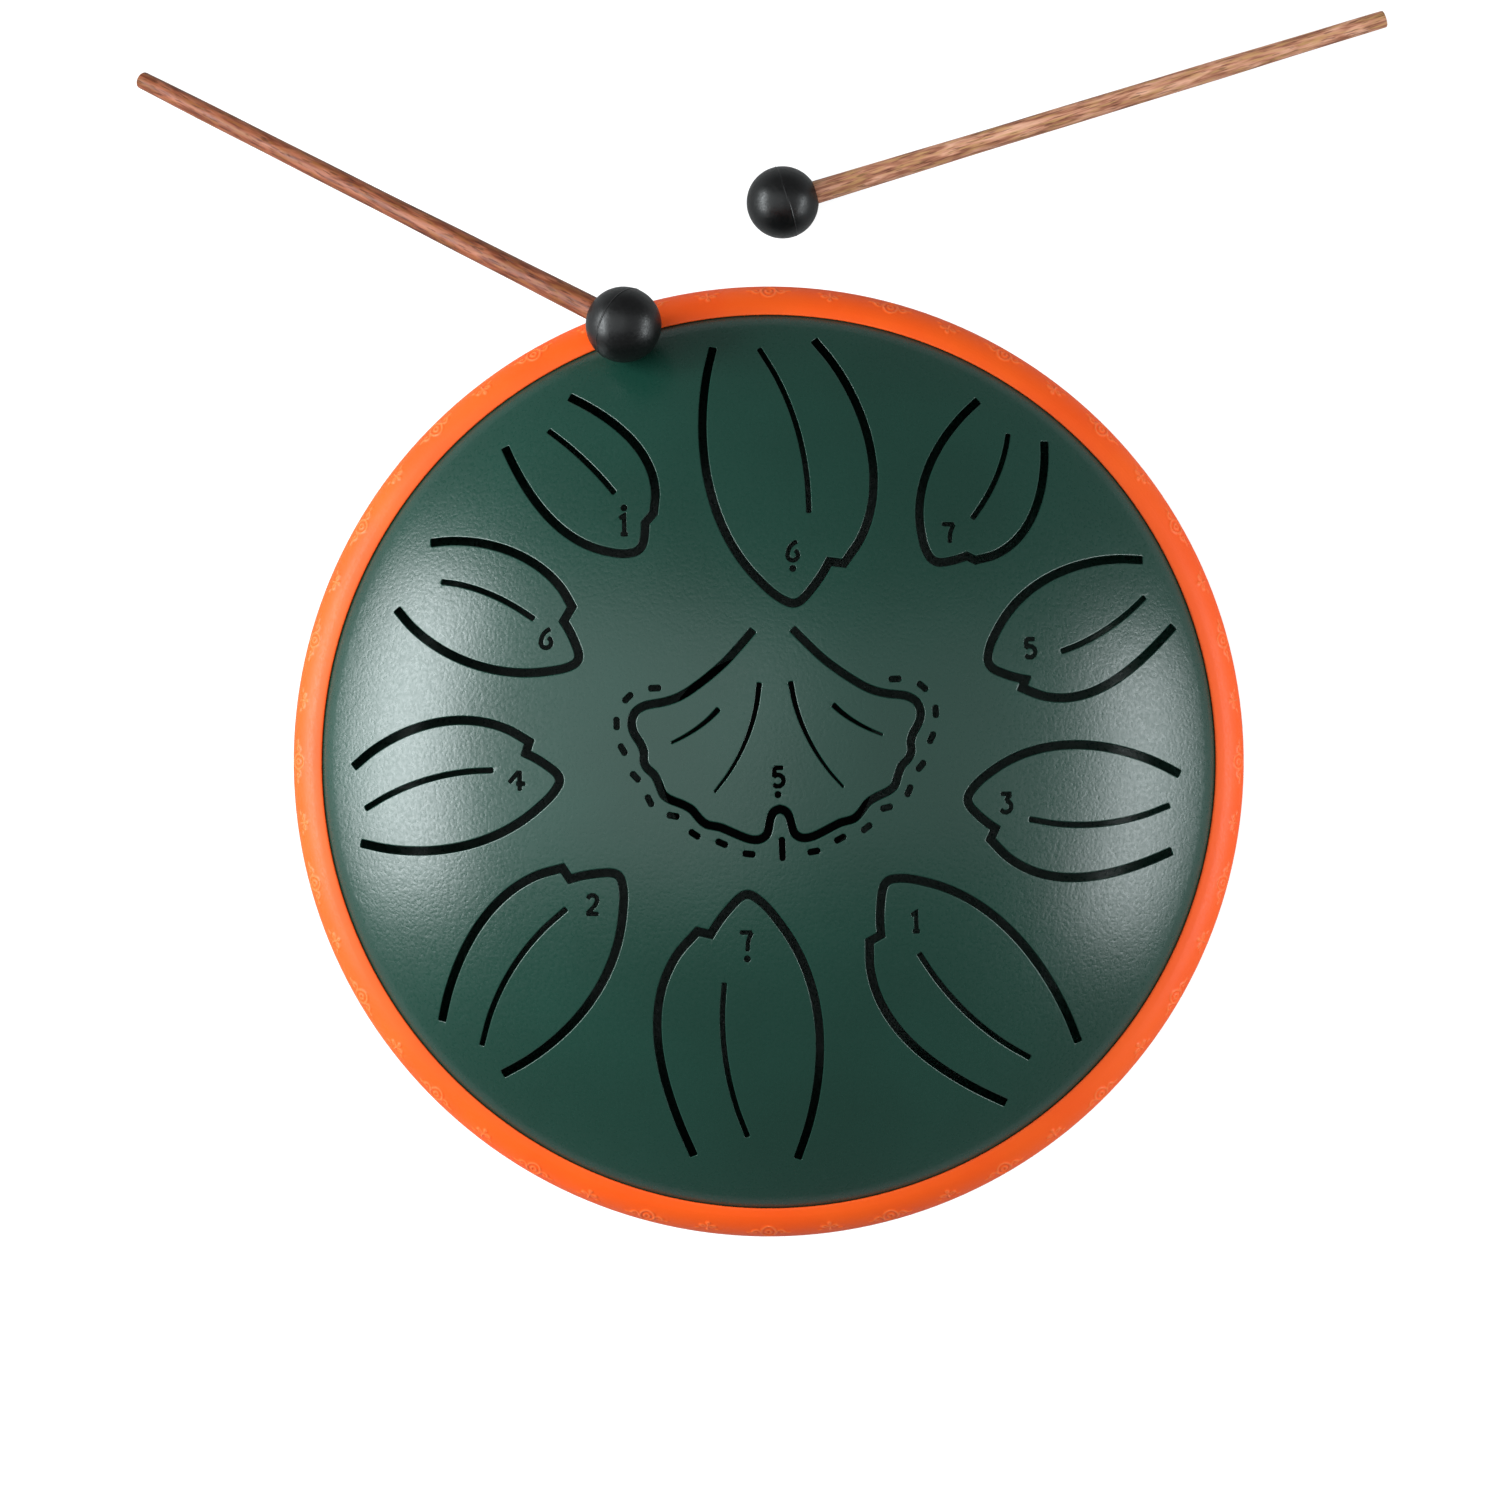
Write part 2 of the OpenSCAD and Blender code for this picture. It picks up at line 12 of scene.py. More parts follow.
import bmesh
import bpy
import numpy as np
from mathutils import Matrix, Vector
from mathutils.geometry import delaunay_2d_cdt


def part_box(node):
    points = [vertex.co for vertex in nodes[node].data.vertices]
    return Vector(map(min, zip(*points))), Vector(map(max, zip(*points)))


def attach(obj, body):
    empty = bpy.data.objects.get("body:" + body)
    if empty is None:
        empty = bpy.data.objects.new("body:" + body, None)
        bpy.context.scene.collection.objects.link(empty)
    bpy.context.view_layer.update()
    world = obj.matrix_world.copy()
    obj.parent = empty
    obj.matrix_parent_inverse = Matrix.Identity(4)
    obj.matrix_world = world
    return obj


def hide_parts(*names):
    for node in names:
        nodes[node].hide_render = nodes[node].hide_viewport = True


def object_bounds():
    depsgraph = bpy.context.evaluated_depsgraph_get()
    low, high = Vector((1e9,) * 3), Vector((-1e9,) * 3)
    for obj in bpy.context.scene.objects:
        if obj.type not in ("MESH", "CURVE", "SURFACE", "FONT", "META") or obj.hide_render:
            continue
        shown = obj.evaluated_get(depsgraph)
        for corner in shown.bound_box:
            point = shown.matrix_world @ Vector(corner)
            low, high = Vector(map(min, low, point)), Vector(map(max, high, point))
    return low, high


MM = 0.001

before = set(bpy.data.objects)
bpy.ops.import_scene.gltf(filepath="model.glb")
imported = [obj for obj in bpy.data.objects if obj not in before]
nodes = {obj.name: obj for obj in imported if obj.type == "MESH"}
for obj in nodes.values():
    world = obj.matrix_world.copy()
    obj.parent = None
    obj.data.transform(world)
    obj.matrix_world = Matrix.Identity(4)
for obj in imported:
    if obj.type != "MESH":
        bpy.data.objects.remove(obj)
cad_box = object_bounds()
print("nodes:", len(nodes), "box:", [[round(v, 4) for v in corner] for corner in cad_box])

# %% [markdown]
# The camera comes first, because it settles how much detail shows. The photograph looks straight down from
# far away, so circles stay circles. A long lens high above the drum gives the same view: its length follows
# from how wide a strip of the seam's plane the picture shows, so nothing has to be fitted by eye.

# %% Camera
SEAM_Z = 54 * MM
VIEW_WIDTH = 401.1 * MM
VIEW_DISTANCE = 1400 * MM
VIEW_CENTRE = Vector((-5.0 * MM, 3.07 * MM, SEAM_Z))

bpy.context.scene.view_settings.view_transform = "Standard"
camera = bpy.data.objects.new("camera", bpy.data.cameras.new("camera"))
camera.data.lens = camera.data.sensor_width * VIEW_DISTANCE / VIEW_WIDTH
camera.location = VIEW_CENTRE + Vector((0, 0, VIEW_DISTANCE))
bpy.context.scene.collection.objects.link(camera)
bpy.context.scene.camera = camera
print("lens:", round(camera.data.lens, 1), "mm")

# %% [markdown]
# Two long soft boxes stand low on the left and the right of the drum, as a product photographer sets them.
# The dome curves away from the camera, so each box shows as one pale crescent near the rim, and the middle
# stays deep green. Two weaker boxes overhead open the shadows, and the world adds a little even light.
# The lamps are areas and not points, because only a wide source gives a powder coat its soft highlight.

# %% Light
DAYLIGHT = (0.94, 1.0, 1.02)
DRUM_MIDDLE = Vector((0, 0, 80 * MM))
# Heading and elevation in degrees, distance, width and height in metres, and power in watts
SOFT_BOXES = {"box_left": (175, 20, 1.3, 1.15, 0.44, 28),
              "box_right": (356, 18, 1.3, 1.00, 0.36, 12.5),
              "box_above": (172, 68, 1.5, 1.5, 1.4, 8.8),
              "box_above_right": (8, 66, 1.5, 1.2, 1.4, 3)}

for name, (heading, elevation, distance, width, height, watts) in SOFT_BOXES.items():
    lamp = bpy.data.lights.new(name, "AREA")
    lamp.shape = "RECTANGLE"
    lamp.size, lamp.size_y, lamp.energy = width, height, watts
    lamp.color = DAYLIGHT
    turn, lift = radians(heading), radians(elevation)
    away = Vector((cos(lift) * cos(turn), cos(lift) * sin(turn), sin(lift)))
    box = bpy.data.objects.new(name, lamp)
    box.location = DRUM_MIDDLE + away * distance
    box.rotation_euler = away.to_track_quat("Z", "Y").to_euler()
    bpy.context.scene.collection.objects.link(box)
print("soft boxes:", ", ".join(SOFT_BOXES))

# %% [markdown]
# The background and every finish is a tree of small nodes that each do one thing. Wired one by one they
# take many lines that look alike, so a few helpers make a node, fill its inputs with numbers or with other
# nodes' outputs, and do one sum, one blend or one change of range.

# %% Helpers for node trees
# A Mix node's colour sockets have the same names as its number sockets, so they are found by their place
MIX_FACTOR, MIX_FIRST, MIX_SECOND, MIX_RESULT = 0, 6, 7, 2


def fill(tree, socket, value):
    """Links an input to another node's output, or gives it a plain value."""
    if isinstance(value, bpy.types.NodeSocket):
        tree.links.new(value, socket)
    else:
        socket.default_value = value


def fit(tree, node, **settings):
    """Fills the inputs that the settings name. A setting that names no input is the node's own."""
    for name, value in settings.items():
        label = name.replace("_", " ")
        socket = next((s for s in node.inputs if s.name == label and s.enabled), None)
        if socket is None:
            setattr(node, name, value)
        else:
            fill(tree, socket, value)
    return node


def add(tree, kind, **settings):
    """A new node, fitted with its settings."""
    return fit(tree, tree.nodes.new("ShaderNode" + kind), **settings)


def calc(tree, operation, a, b):
    """One sum of two numbers, each of them plain or another node's output."""
    node = add(tree, "Math", operation=operation)
    for socket, value in zip(node.inputs, (a, b)):
        fill(tree, socket, value)
    return node.outputs[0]


def blend_colour(tree, factor, first, second, mode="MIX"):
    """Two colours mixed by a factor, each of them plain or another node's output."""
    node = add(tree, "Mix", data_type="RGBA", blend_type=mode, clamp_factor=True)
    for number, value in ((MIX_FACTOR, factor), (MIX_FIRST, first), (MIX_SECOND, second)):
        fill(tree, node.inputs[number], value)
    return node.outputs[MIX_RESULT]


def span(tree, value, low, high, to_low, to_high, **settings):
    """The value moved from one range to another, and held inside it."""
    return add(tree, "MapRange", Value=value, From_Min=low, From_Max=high, To_Min=to_low, To_Max=to_high,
               **settings).outputs["Result"]


def finish(name, **settings):
    """A new material, its node tree, and its shader fitted with plain values."""
    material = bpy.data.materials.new(name)
    material.use_nodes = True
    tree = material.node_tree
    print("finish:", name)
    return material, tree, fit(tree, tree.nodes["Principled BSDF"], **settings)

# %% [markdown]
# The background is a plain white sweep. The world looks white to the camera and through anything clear,
# but lights the drum far less than that. Glossy rays see a share of the white: the whole of it would lay a
# grey veil over a dark coat.

# %% World
WORLD_GREY = (0.140, 0.143, 0.146, 1)
WHITE = (1, 1, 1, 1)
GLOSS_SHARE = 0.10


def background_rays(tree):
    """How much of the background's white a ray sees: all, a share of it, or none."""
    rays = add(tree, "LightPath").outputs
    most = calc(tree, "MULTIPLY", rays["Is Glossy Ray"], GLOSS_SHARE)
    for ray in ("Is Camera Ray", "Is Transmission Ray"):
        most = calc(tree, "MAXIMUM", most, rays[ray])
    return most


world = bpy.data.worlds.new("studio")
bpy.context.scene.world = world
world.use_nodes = True
tree = world.node_tree
tree.nodes.clear()
mix = add(tree, "MixShader", Fac=background_rays(tree))
for socket, colour in zip(mix.inputs[1:], (WORLD_GREY, WHITE)):
    fill(tree, socket, add(tree, "Background", Color=colour).outputs[0])
add(tree, "OutputWorld", Surface=mix.outputs[0])
print("world:", len(tree.nodes), "nodes")

# %% [markdown]
# The floor does the same: a pale paper that catches shadows, lifted to the background's white, less so
# close to the drum, and not at all under its middle, where the slots let the camera look through the sound
# hole onto the table. There the paper's colour is also painted nearly black, a painted shade. The lift and
# the painted shade fade in smoothly from there to the rim, so that from the side the table darkens under the
# drum without an edge.

# %% Floor
FLOOR_PALE = (0.36, 0.36, 0.36, 1)
# Painted shade: the paper's colour under the drum is nearly black
FLOOR_PAINTED_SHADE = (0.02, 0.02, 0.02, 1)
UNDER_R, BESIDE_R, NEAR_R, FAR_R = 0.055, 0.136, 0.30, 1.1
LIFT_NEAR, LIFT_FAR = 0.84, 1.0
FLOOR_HALF = 12.0
FLOOR_CORNERS = ((-1, -1), (1, -1), (1, 1), (-1, 1))

floor_z = cad_box[0][2]
floor_mesh = bpy.data.meshes.new("floor")
floor_mesh.from_pydata([(x * FLOOR_HALF, y * FLOOR_HALF, floor_z) for x, y in FLOOR_CORNERS], [],
                       [(0, 1, 2, 3)])
floor = bpy.data.objects.new("floor", floor_mesh)
bpy.context.scene.collection.objects.link(floor)

floor_paper, tree, shader = finish("floor_paper", Roughness=0.9, Specular_IOR_Level=0.1, Emission_Color=WHITE)
where = add(tree, "TexCoord").outputs["Object"]
away = add(tree, "VectorMath", operation="LENGTH", Vector=where).outputs["Value"]
beside = span(tree, away, UNDER_R, BESIDE_R, 0, 1, interpolation_type="SMOOTHERSTEP")
lift = calc(tree, "MULTIPLY", background_rays(tree), beside)
lift = calc(tree, "MULTIPLY", lift, span(tree, away, NEAR_R, FAR_R, LIFT_NEAR, LIFT_FAR))
# Under the drum the paper's colour blends to the painted shade, and beside it to the pale paper
fit(tree, shader, Base_Color=blend_colour(tree, beside, FLOOR_PAINTED_SHADE, FLOOR_PALE), Emission_Strength=lift)
floor_mesh.materials.append(floor_paper)
print("floor at", round(floor_z / MM, 2), "mm")

# %% [markdown]
# Each finish is a material of its own, but some effects come back in several of them. Those are node groups
# with named inputs, built once and placed with other values. The first is the fine relief that every moulded
# or coated surface here has in some form: the pebble of a powder coat, the grain of a mould. It is noise at
# the size of one pebble plus a coarser swell, turned into a normal by a Bump node whose distance is a real
# height. Noise seldom leaves the middle of its range, so a mask is stretched from that middle.

# %% Group: fine relief
NOISE_LOW, NOISE_HIGH = 0.35, 0.65
SWELL_TO_PEBBLE = 0.17


def group(name, inputs, outputs):
    """A shader node group with named sockets: its tree, what it is given and what it gives."""
    tree = bpy.data.node_groups.new(name, "ShaderNodeTree")
    for label, kind, value in inputs:
        socket = tree.interface.new_socket(label, in_out="INPUT", socket_type="NodeSocket" + kind)
        socket.default_value = value
    for label, kind in outputs:
        tree.interface.new_socket(label, in_out="OUTPUT", socket_type="NodeSocket" + kind)
    print("group:", name)
    return tree, tree.nodes.new("NodeGroupInput").outputs, tree.nodes.new("NodeGroupOutput").inputs


relief, given, gives = group(
    "fine_relief",
    [("Grain size", "Float", 0.8 * MM), ("Height", "Float", 0.04 * MM), ("Swell", "Float", 0.3)],
    [("Mask", "Float"), ("Normal", "Vector")])
where = add(relief, "TexCoord").outputs["Object"]
fineness = calc(relief, "DIVIDE", 1.0, given["Grain size"])
coarseness = calc(relief, "MULTIPLY", fineness, SWELL_TO_PEBBLE)
pebble = add(relief, "TexNoise", Vector=where, Scale=fineness, Detail=1.5, Roughness=0.45).outputs["Fac"]
swell = add(relief, "TexNoise", Vector=where, Scale=coarseness, Detail=1.0).outputs["Fac"]
heights = calc(relief, "ADD", pebble, calc(relief, "MULTIPLY", swell, given["Swell"]))
bump = add(relief, "Bump", Height=heights, Distance=given["Height"], Strength=1.0)
fill(relief, gives["Mask"], span(relief, pebble, NOISE_LOW, NOISE_HIGH, 0, 1))
fill(relief, gives["Normal"], bump.outputs["Normal"])

# %% [markdown]
# The second group is colour that drifts over a few centimetres, with rare specks, because no real paint,
# rubber or plating is one flat colour. The drift is soft noise, and a speck is the middle of a cell of a
# Voronoi texture.

# %% Group: drifting colour
SPECK_EDGE_IN, SPECK_EDGE_OUT = 0.05, 0.16

drift, given, gives = group(
    "drifting_colour",
    [("Colour", "Color", (0.5, 0.5, 0.5, 1)), ("Shade", "Color", (0.4, 0.4, 0.4, 1)),
     ("Drift size", "Float", 30 * MM), ("Speck size", "Float", 2 * MM), ("Specks", "Float", 0.3)],
    [("Colour", "Color"), ("Mask", "Float")])
where = add(drift, "TexCoord").outputs["Object"]
cloud = add(drift, "TexNoise", Vector=where, Detail=3.0,
            Scale=calc(drift, "DIVIDE", 1.0, given["Drift size"])).outputs["Fac"]
speck = add(drift, "TexVoronoi", Vector=where,
            Scale=calc(drift, "DIVIDE", 1.0, given["Speck size"])).outputs["Distance"]
cloudy = span(drift, cloud, NOISE_LOW, NOISE_HIGH, 0, 1)
dots = calc(drift, "MULTIPLY", span(drift, speck, SPECK_EDGE_IN, SPECK_EDGE_OUT, 1, 0), given["Specks"])
shaded = calc(drift, "MAXIMUM", cloudy, dots)
fill(drift, gives["Colour"], blend_colour(drift, shaded, given["Colour"], given["Shade"]))
fill(drift, gives["Mask"], cloudy)

# %% [markdown]
# Coat, rubber and steel all join the two groups in the same way: the drift colours the surface, the relief
# roughens its light, and one of their masks moves the roughness a little. One function makes such a finish.
# The shader itself stays in the material, because only the groups are shared.
#
# The powder coat is matte green paint baked on from dust, so it pebbles like fine orange peel. Up close
# the pebbles break the highlights into sparkle, and from the camera they read as a soft grain. The colour
# is the middle green of the photograph, with a darker green drifting through it.

# %% Finish: green powder coat
def place(tree, made, **settings):
    """A group placed in a material, with its named inputs filled."""
    return add(tree, "Group", node_tree=made, **settings).outputs


def layered(name, tint, skin, rough, rough_by="relief", raised_and_painted_highlight=None, **settings):
    """A finish of both groups. Its roughness runs between two values, by the mask of one of the groups,
    and where the mesh is marked as raised it may take another colour, a painted highlight."""
    material, tree, shader = finish(name, **settings)
    made = {"colour": place(tree, drift, **tint), "relief": place(tree, relief, **skin)}
    colour = made["colour"]["Colour"]
    # A painted highlight: where the mesh is marked as raised, the colour turns paler
    if raised_and_painted_highlight:
        height_here = add(tree, "Attribute", attribute_name="raised_and_painted_highlight").outputs["Fac"]
        colour = blend_colour(tree, height_here, colour, raised_and_painted_highlight)
    fit(tree, shader, Base_Color=colour, Roughness=span(tree, made[rough_by]["Mask"], 0, 1, *rough),
        Normal=made["relief"]["Normal"])
    return material


green_coat = layered(
    "green_coat", Roughness=0.30, rough=(0.27, 0.34),
    tint=dict(Colour=(0.0068, 0.0455, 0.0310, 1), Shade=(0.0056, 0.0385, 0.0258, 1), Drift_size=50 * MM,
              Speck_size=4 * MM, Specks=0.25),
    skin=dict(Grain_size=0.9 * MM, Height=0.055 * MM, Swell=0.5))

# %% [markdown]
# The rubbers are moulded, so they take their skin from a blasted mould: a grain too fine to see singly,
# which only keeps the highlights from being sharp. Orange silicone glows a little from within, so its
# shade is a redder orange, not a darker one. Its raised ornament is painted a little paler, a painted
# highlight where the relief catches the light. The mesh says where it is raised, as a number on each point
# that the material reads by name. The feet and balls are the same black rubber, and the balls are rubbed
# smoother by use.

# %% Finishes: orange and black rubber
RUBBER_IOR = 1.41
SMOOTHER, ROUGHER = 0.05, 0.07


def rubber(name, colour, shade, roughness, grain, height, raised_and_painted_highlight=None):
    return layered(name, rough=(roughness - SMOOTHER, roughness + ROUGHER), raised_and_painted_highlight=raised_and_painted_highlight,
                   tint=dict(Colour=colour, Shade=shade, Drift_size=22 * MM, Speck_size=3 * MM, Specks=0.35),
                   skin=dict(Grain_size=grain, Height=height, Swell=0.6),
                   Roughness=roughness, IOR=RUBBER_IOR)


# The orange rubber's raised colour is a painted highlight on the ring's ornament
orange_rubber = rubber("orange_rubber", colour=(1.0, 0.110, 0.004, 1), shade=(0.98, 0.094, 0.003, 1),
                       roughness=0.50, grain=0.6 * MM, height=0.02 * MM, raised_and_painted_highlight=(1.0, 0.190, 0.045, 1))
foot_rubber = rubber("foot_rubber", colour=(0.013, 0.013, 0.014, 1), shade=(0.020, 0.020, 0.020, 1),
                     roughness=0.62, grain=0.5 * MM, height=0.03 * MM)
ball_rubber = rubber("ball_rubber", colour=(0.0020, 0.0020, 0.0022, 1), shade=(0.0032, 0.0032, 0.0033, 1),
                     roughness=0.37, grain=0.7 * MM, height=0.012 * MM)

# %% [markdown]
# The fasteners are zinc-plated: a bright, slightly blue metal whose plating clouds in patches. The weld
# bead has its own duller steel. Both take their clouding and their roughness from the drifting colour, and
# their fine scratches from the fine relief.

# %% Finishes: plated and bare steel
def steel(name, colour, shade, rough, grain, height):
    return layered(name, rough=rough, rough_by="colour",
                   tint=dict(Colour=colour, Shade=shade, Drift_size=4 * MM, Speck_size=1.2 * MM, Specks=0.2),
                   skin=dict(Grain_size=grain, Height=height, Swell=0.5),
                   Roughness=rough[0], Metallic=1.0)


zinc_steel = steel("zinc_steel", colour=(0.62, 0.64, 0.68, 1), shade=(0.48, 0.50, 0.53, 1),
                   rough=(0.22, 0.38), grain=0.4 * MM, height=0.006 * MM)
weld_steel = steel("weld_steel", colour=(0.34, 0.32, 0.30, 1), shade=(0.20, 0.17, 0.15, 1),
                   rough=(0.40, 0.60), grain=1.5 * MM, height=0.12 * MM)

# %% [markdown]
# Wood is stretched noise: the grain runs along the stick, so the pattern is squeezed across it and drawn
# out along it. The stick's own axis is its X, whichever way it lies, because the pattern follows the
# object and not the world. Four layers make it: broad light and dark streaks, golden patches, fine fibres,
# and short dark pores that also sink into the surface. A painted shade darkens the left stick's wood against
# the stronger light that falls on it, and a number on the mesh says how much.

# %% The layers of the wood
PORE_LOW, PORE_HIGH = 0.62, 0.72

stick_wood, tree, shader = finish("stick_wood", Roughness=0.42, Specular_IOR_Level=0.2)
where = add(tree, "TexCoord").outputs["Object"]


def grain_noise(across, along, **settings):
    """Noise whose streaks are so many millimetres across the stick and so many along it."""
    stretch = add(tree, "VectorMath", operation="MULTIPLY")
    fill(tree, stretch.inputs[0], where)
    fill(tree, stretch.inputs[1], (1 / (along * MM), 1 / (across * MM), 1 / (across * MM)))
    return add(tree, "TexNoise", Vector=stretch.outputs[0], **settings).outputs["Fac"]


broad = grain_noise(1.9, 14, Scale=1.0, Detail=3.0, Distortion=1.0)
fibre = grain_noise(0.5, 8, Scale=1.0, Detail=2.0)
golden = grain_noise(1.6, 10, Scale=1.7, Detail=1.0)
pores = span(tree, grain_noise(0.35, 3.5, Scale=1.0, Detail=0.0), PORE_LOW, PORE_HIGH, 0, 1)

# %% [markdown]
# The streaks take their colours from a ramp of four browns. Gold, pores and a painted shade are laid
# over them in that order, and the fibres and pores also make the wood's relief and its varied gloss.

# %% Finish: oiled wood
STREAKS = ((0.0, (0.190, 0.068, 0.039, 1)), (0.36, (0.390, 0.160, 0.094, 1)),
           (0.60, (0.580, 0.272, 0.172, 1)), (1.0, (0.770, 0.425, 0.292, 1)))
STREAK_LOW, STREAK_HIGH = 0.34, 0.66
BROAD_SHARE, FIBRE_SHARE = 0.68, 0.32
GOLD = (0.540, 0.300, 0.125, 1)
GOLD_LOW, GOLD_HIGH, GOLD_SHARE = 0.48, 0.68, 0.75
PORE, PORE_SHARE = (0.055, 0.016, 0.010, 1), 0.5
# A painted shade: the left stick's wood is multiplied by this brown, against the stronger light on it
PAINTED_SHADE_BROWN = (0.47, 0.30, 0.23, 1)
FIBRE_LOW, FIBRE_HIGH, FIBRE_RELIEF = 0.3, 0.7, 0.5
WOOD_GLOSSY, WOOD_DULL = 0.36, 0.52
WOOD_RELIEF = 0.06 * MM

mixed = calc(tree, "ADD", calc(tree, "MULTIPLY", broad, BROAD_SHARE),
             calc(tree, "MULTIPLY", fibre, FIBRE_SHARE))
ramp = add(tree, "ValToRGB", Fac=span(tree, mixed, STREAK_LOW, STREAK_HIGH, 0, 1))
stops = ramp.color_ramp.elements
while len(stops) < len(STREAKS):
    stops.new(0.5)
for stop, (at, colour) in zip(stops, STREAKS):
    stop.position, stop.color = at, colour
wood = blend_colour(tree, span(tree, golden, GOLD_LOW, GOLD_HIGH, 0, GOLD_SHARE), ramp.outputs["Color"],
                    GOLD)
wood = blend_colour(tree, calc(tree, "MULTIPLY", pores, PORE_SHARE), wood, PORE)
# Painted shade: the wood is multiplied towards a darker brown by a number on the stick's mesh
painted_shade_share = add(tree, "Attribute", attribute_name="painted_shade_share").outputs["Fac"]
wood = blend_colour(tree, painted_shade_share, wood, PAINTED_SHADE_BROWN, "MULTIPLY")
heights = calc(tree, "SUBTRACT", calc(tree, "MULTIPLY", fibre, FIBRE_RELIEF), pores)
bump = add(tree, "Bump", Height=heights, Distance=WOOD_RELIEF, Strength=1.0)
fit(tree, shader, Base_Color=wood, Normal=bump.outputs["Normal"],
    Roughness=span(tree, fibre, FIBRE_LOW, FIBRE_HIGH, WOOD_GLOSSY, WOOD_DULL))

# %% [markdown]
# Most pieces are turned or pressed round an axis, so one helper spins a line of points into a mesh, and
# another rounds the line's corners first. Real edges are never sharp: even a radius of a quarter of a
# millimetre catches light, and that thin bright line is what makes a small part look real.

# %% Helpers for lines and rows of points
ROUND_STEPS = 4
LONGEST_CUT = 0.49
ON_AXIS = 1e-7


def soft_corner(start, corner, end, steps=ROUND_STEPS):
    """Points of a soft round from start to end, drawn towards the corner."""
    return [start * (1 - t) ** 2 + corner * 2 * t * (1 - t) + end * t ** 2
            for t in (k / steps for k in range(steps + 1))]


def rounded(corners, steps=ROUND_STEPS):
    """A line of (across, up) points from (across, up, radius) corners. The two ends stay as they are."""
    line = [corners[0][:2]]
    for before, corner, after in zip(corners, corners[1:], corners[2:]):
        here = Vector(corner[:2])
        back, ahead = Vector(before[:2]) - here, Vector(after[:2]) - here
        cut = min(corner[2] / tan(back.angle(ahead) / 2), LONGEST_CUT * back.length,
                  LONGEST_CUT * ahead.length)
        start, end = here + back.normalized() * cut, here + ahead.normalized() * cut
        line += [tuple(p) for p in soft_corner(start, here, end, steps)]
    return line + [corners[-1][:2]]


def joined(low, high):
    """The faces between two closed rows of as many points each."""
    count = len(low)
    return [(low[k], low[(k + 1) % count], high[(k + 1) % count], high[k]) for k in range(count)]


def turned_over(faces):
    return [face[::-1] for face in faces]


def spin(line, steps):
    """Points and faces of a line of (across, up) spun round Z. A point on the axis is made once."""
    points, rows, faces = [], [], []
    for across, up in line:
        if across < ON_AXIS:
            rows.append([len(points)] * steps)
            points.append((0, 0, up))
        else:
            rows.append(range(len(points), len(points) + steps))
            points += [(across * cos(2 * pi * k / steps), across * sin(2 * pi * k / steps), up)
                       for k in range(steps)]
    for low, high in zip(rows, rows[1:]):
        corners = [list(dict.fromkeys(face)) for face in joined(low, high)]
        faces += [face for face in corners if len(face) > 2]
    return points, faces

# %% [markdown]
# Every piece is made in the drum's frame, or put there by a matrix, and says three things: which body it
# rides on, which material it takes, and which imported node it stands for and hides. Its faces are shaded
# smooth except at edges sharper than a given angle.

# %% Helper: a piece
SHARP = 35


def piece(name, points, faces, material, body, stands_for, sharp=SHARP, matrix=None):
    """A mesh object that rides on its body, smooth except at angles above sharp, in degrees."""
    mesh = bpy.data.meshes.new(name)
    mesh.from_pydata([tuple(p) for p in points], [], faces)
    mesh.polygons.foreach_set("use_smooth", [True] * len(mesh.polygons))
    mesh.set_sharp_from_angle(angle=radians(sharp))
    mesh.materials.append(material)
    made = bpy.data.objects.new(name, mesh)
    bpy.context.scene.collection.objects.link(made)
    if matrix is not None:
        made.matrix_world = matrix
    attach(made, body)
    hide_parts(stands_for)
    print(name + ":", len(mesh.vertices), "points,", len(mesh.polygons), "faces")
    return made

# %% [markdown]
# Both bowls are pressed from the same sheet: a crown, a shoulder, a steep wall and a flat flange that is
# welded to the other bowl's. The numbers below describe that section, and each surface of the sheet is a
# height over the seam at a distance from the axis. The inner surface is the same section, moved in by the
# thickness of the sheet.

# %% The section of the two bowls
SHEET = 1.5 * MM
SHELL_R = 121 * MM
FLANGE_R = 122.8 * MM
WALL_SLOPE = radians(80)
DOME_H, CROWN_RISE, DOME_ROUND = 56 * MM, 37 * MM, 18 * MM
PAN_H, PAN_ROUND = 54 * MM, 45 * MM
BEND_ROUND, FLANGE_ROUND, SEAM_ROUND = 0.8 * MM, 0.4 * MM, 0.2 * MM
SHOULDER_STEPS = 12


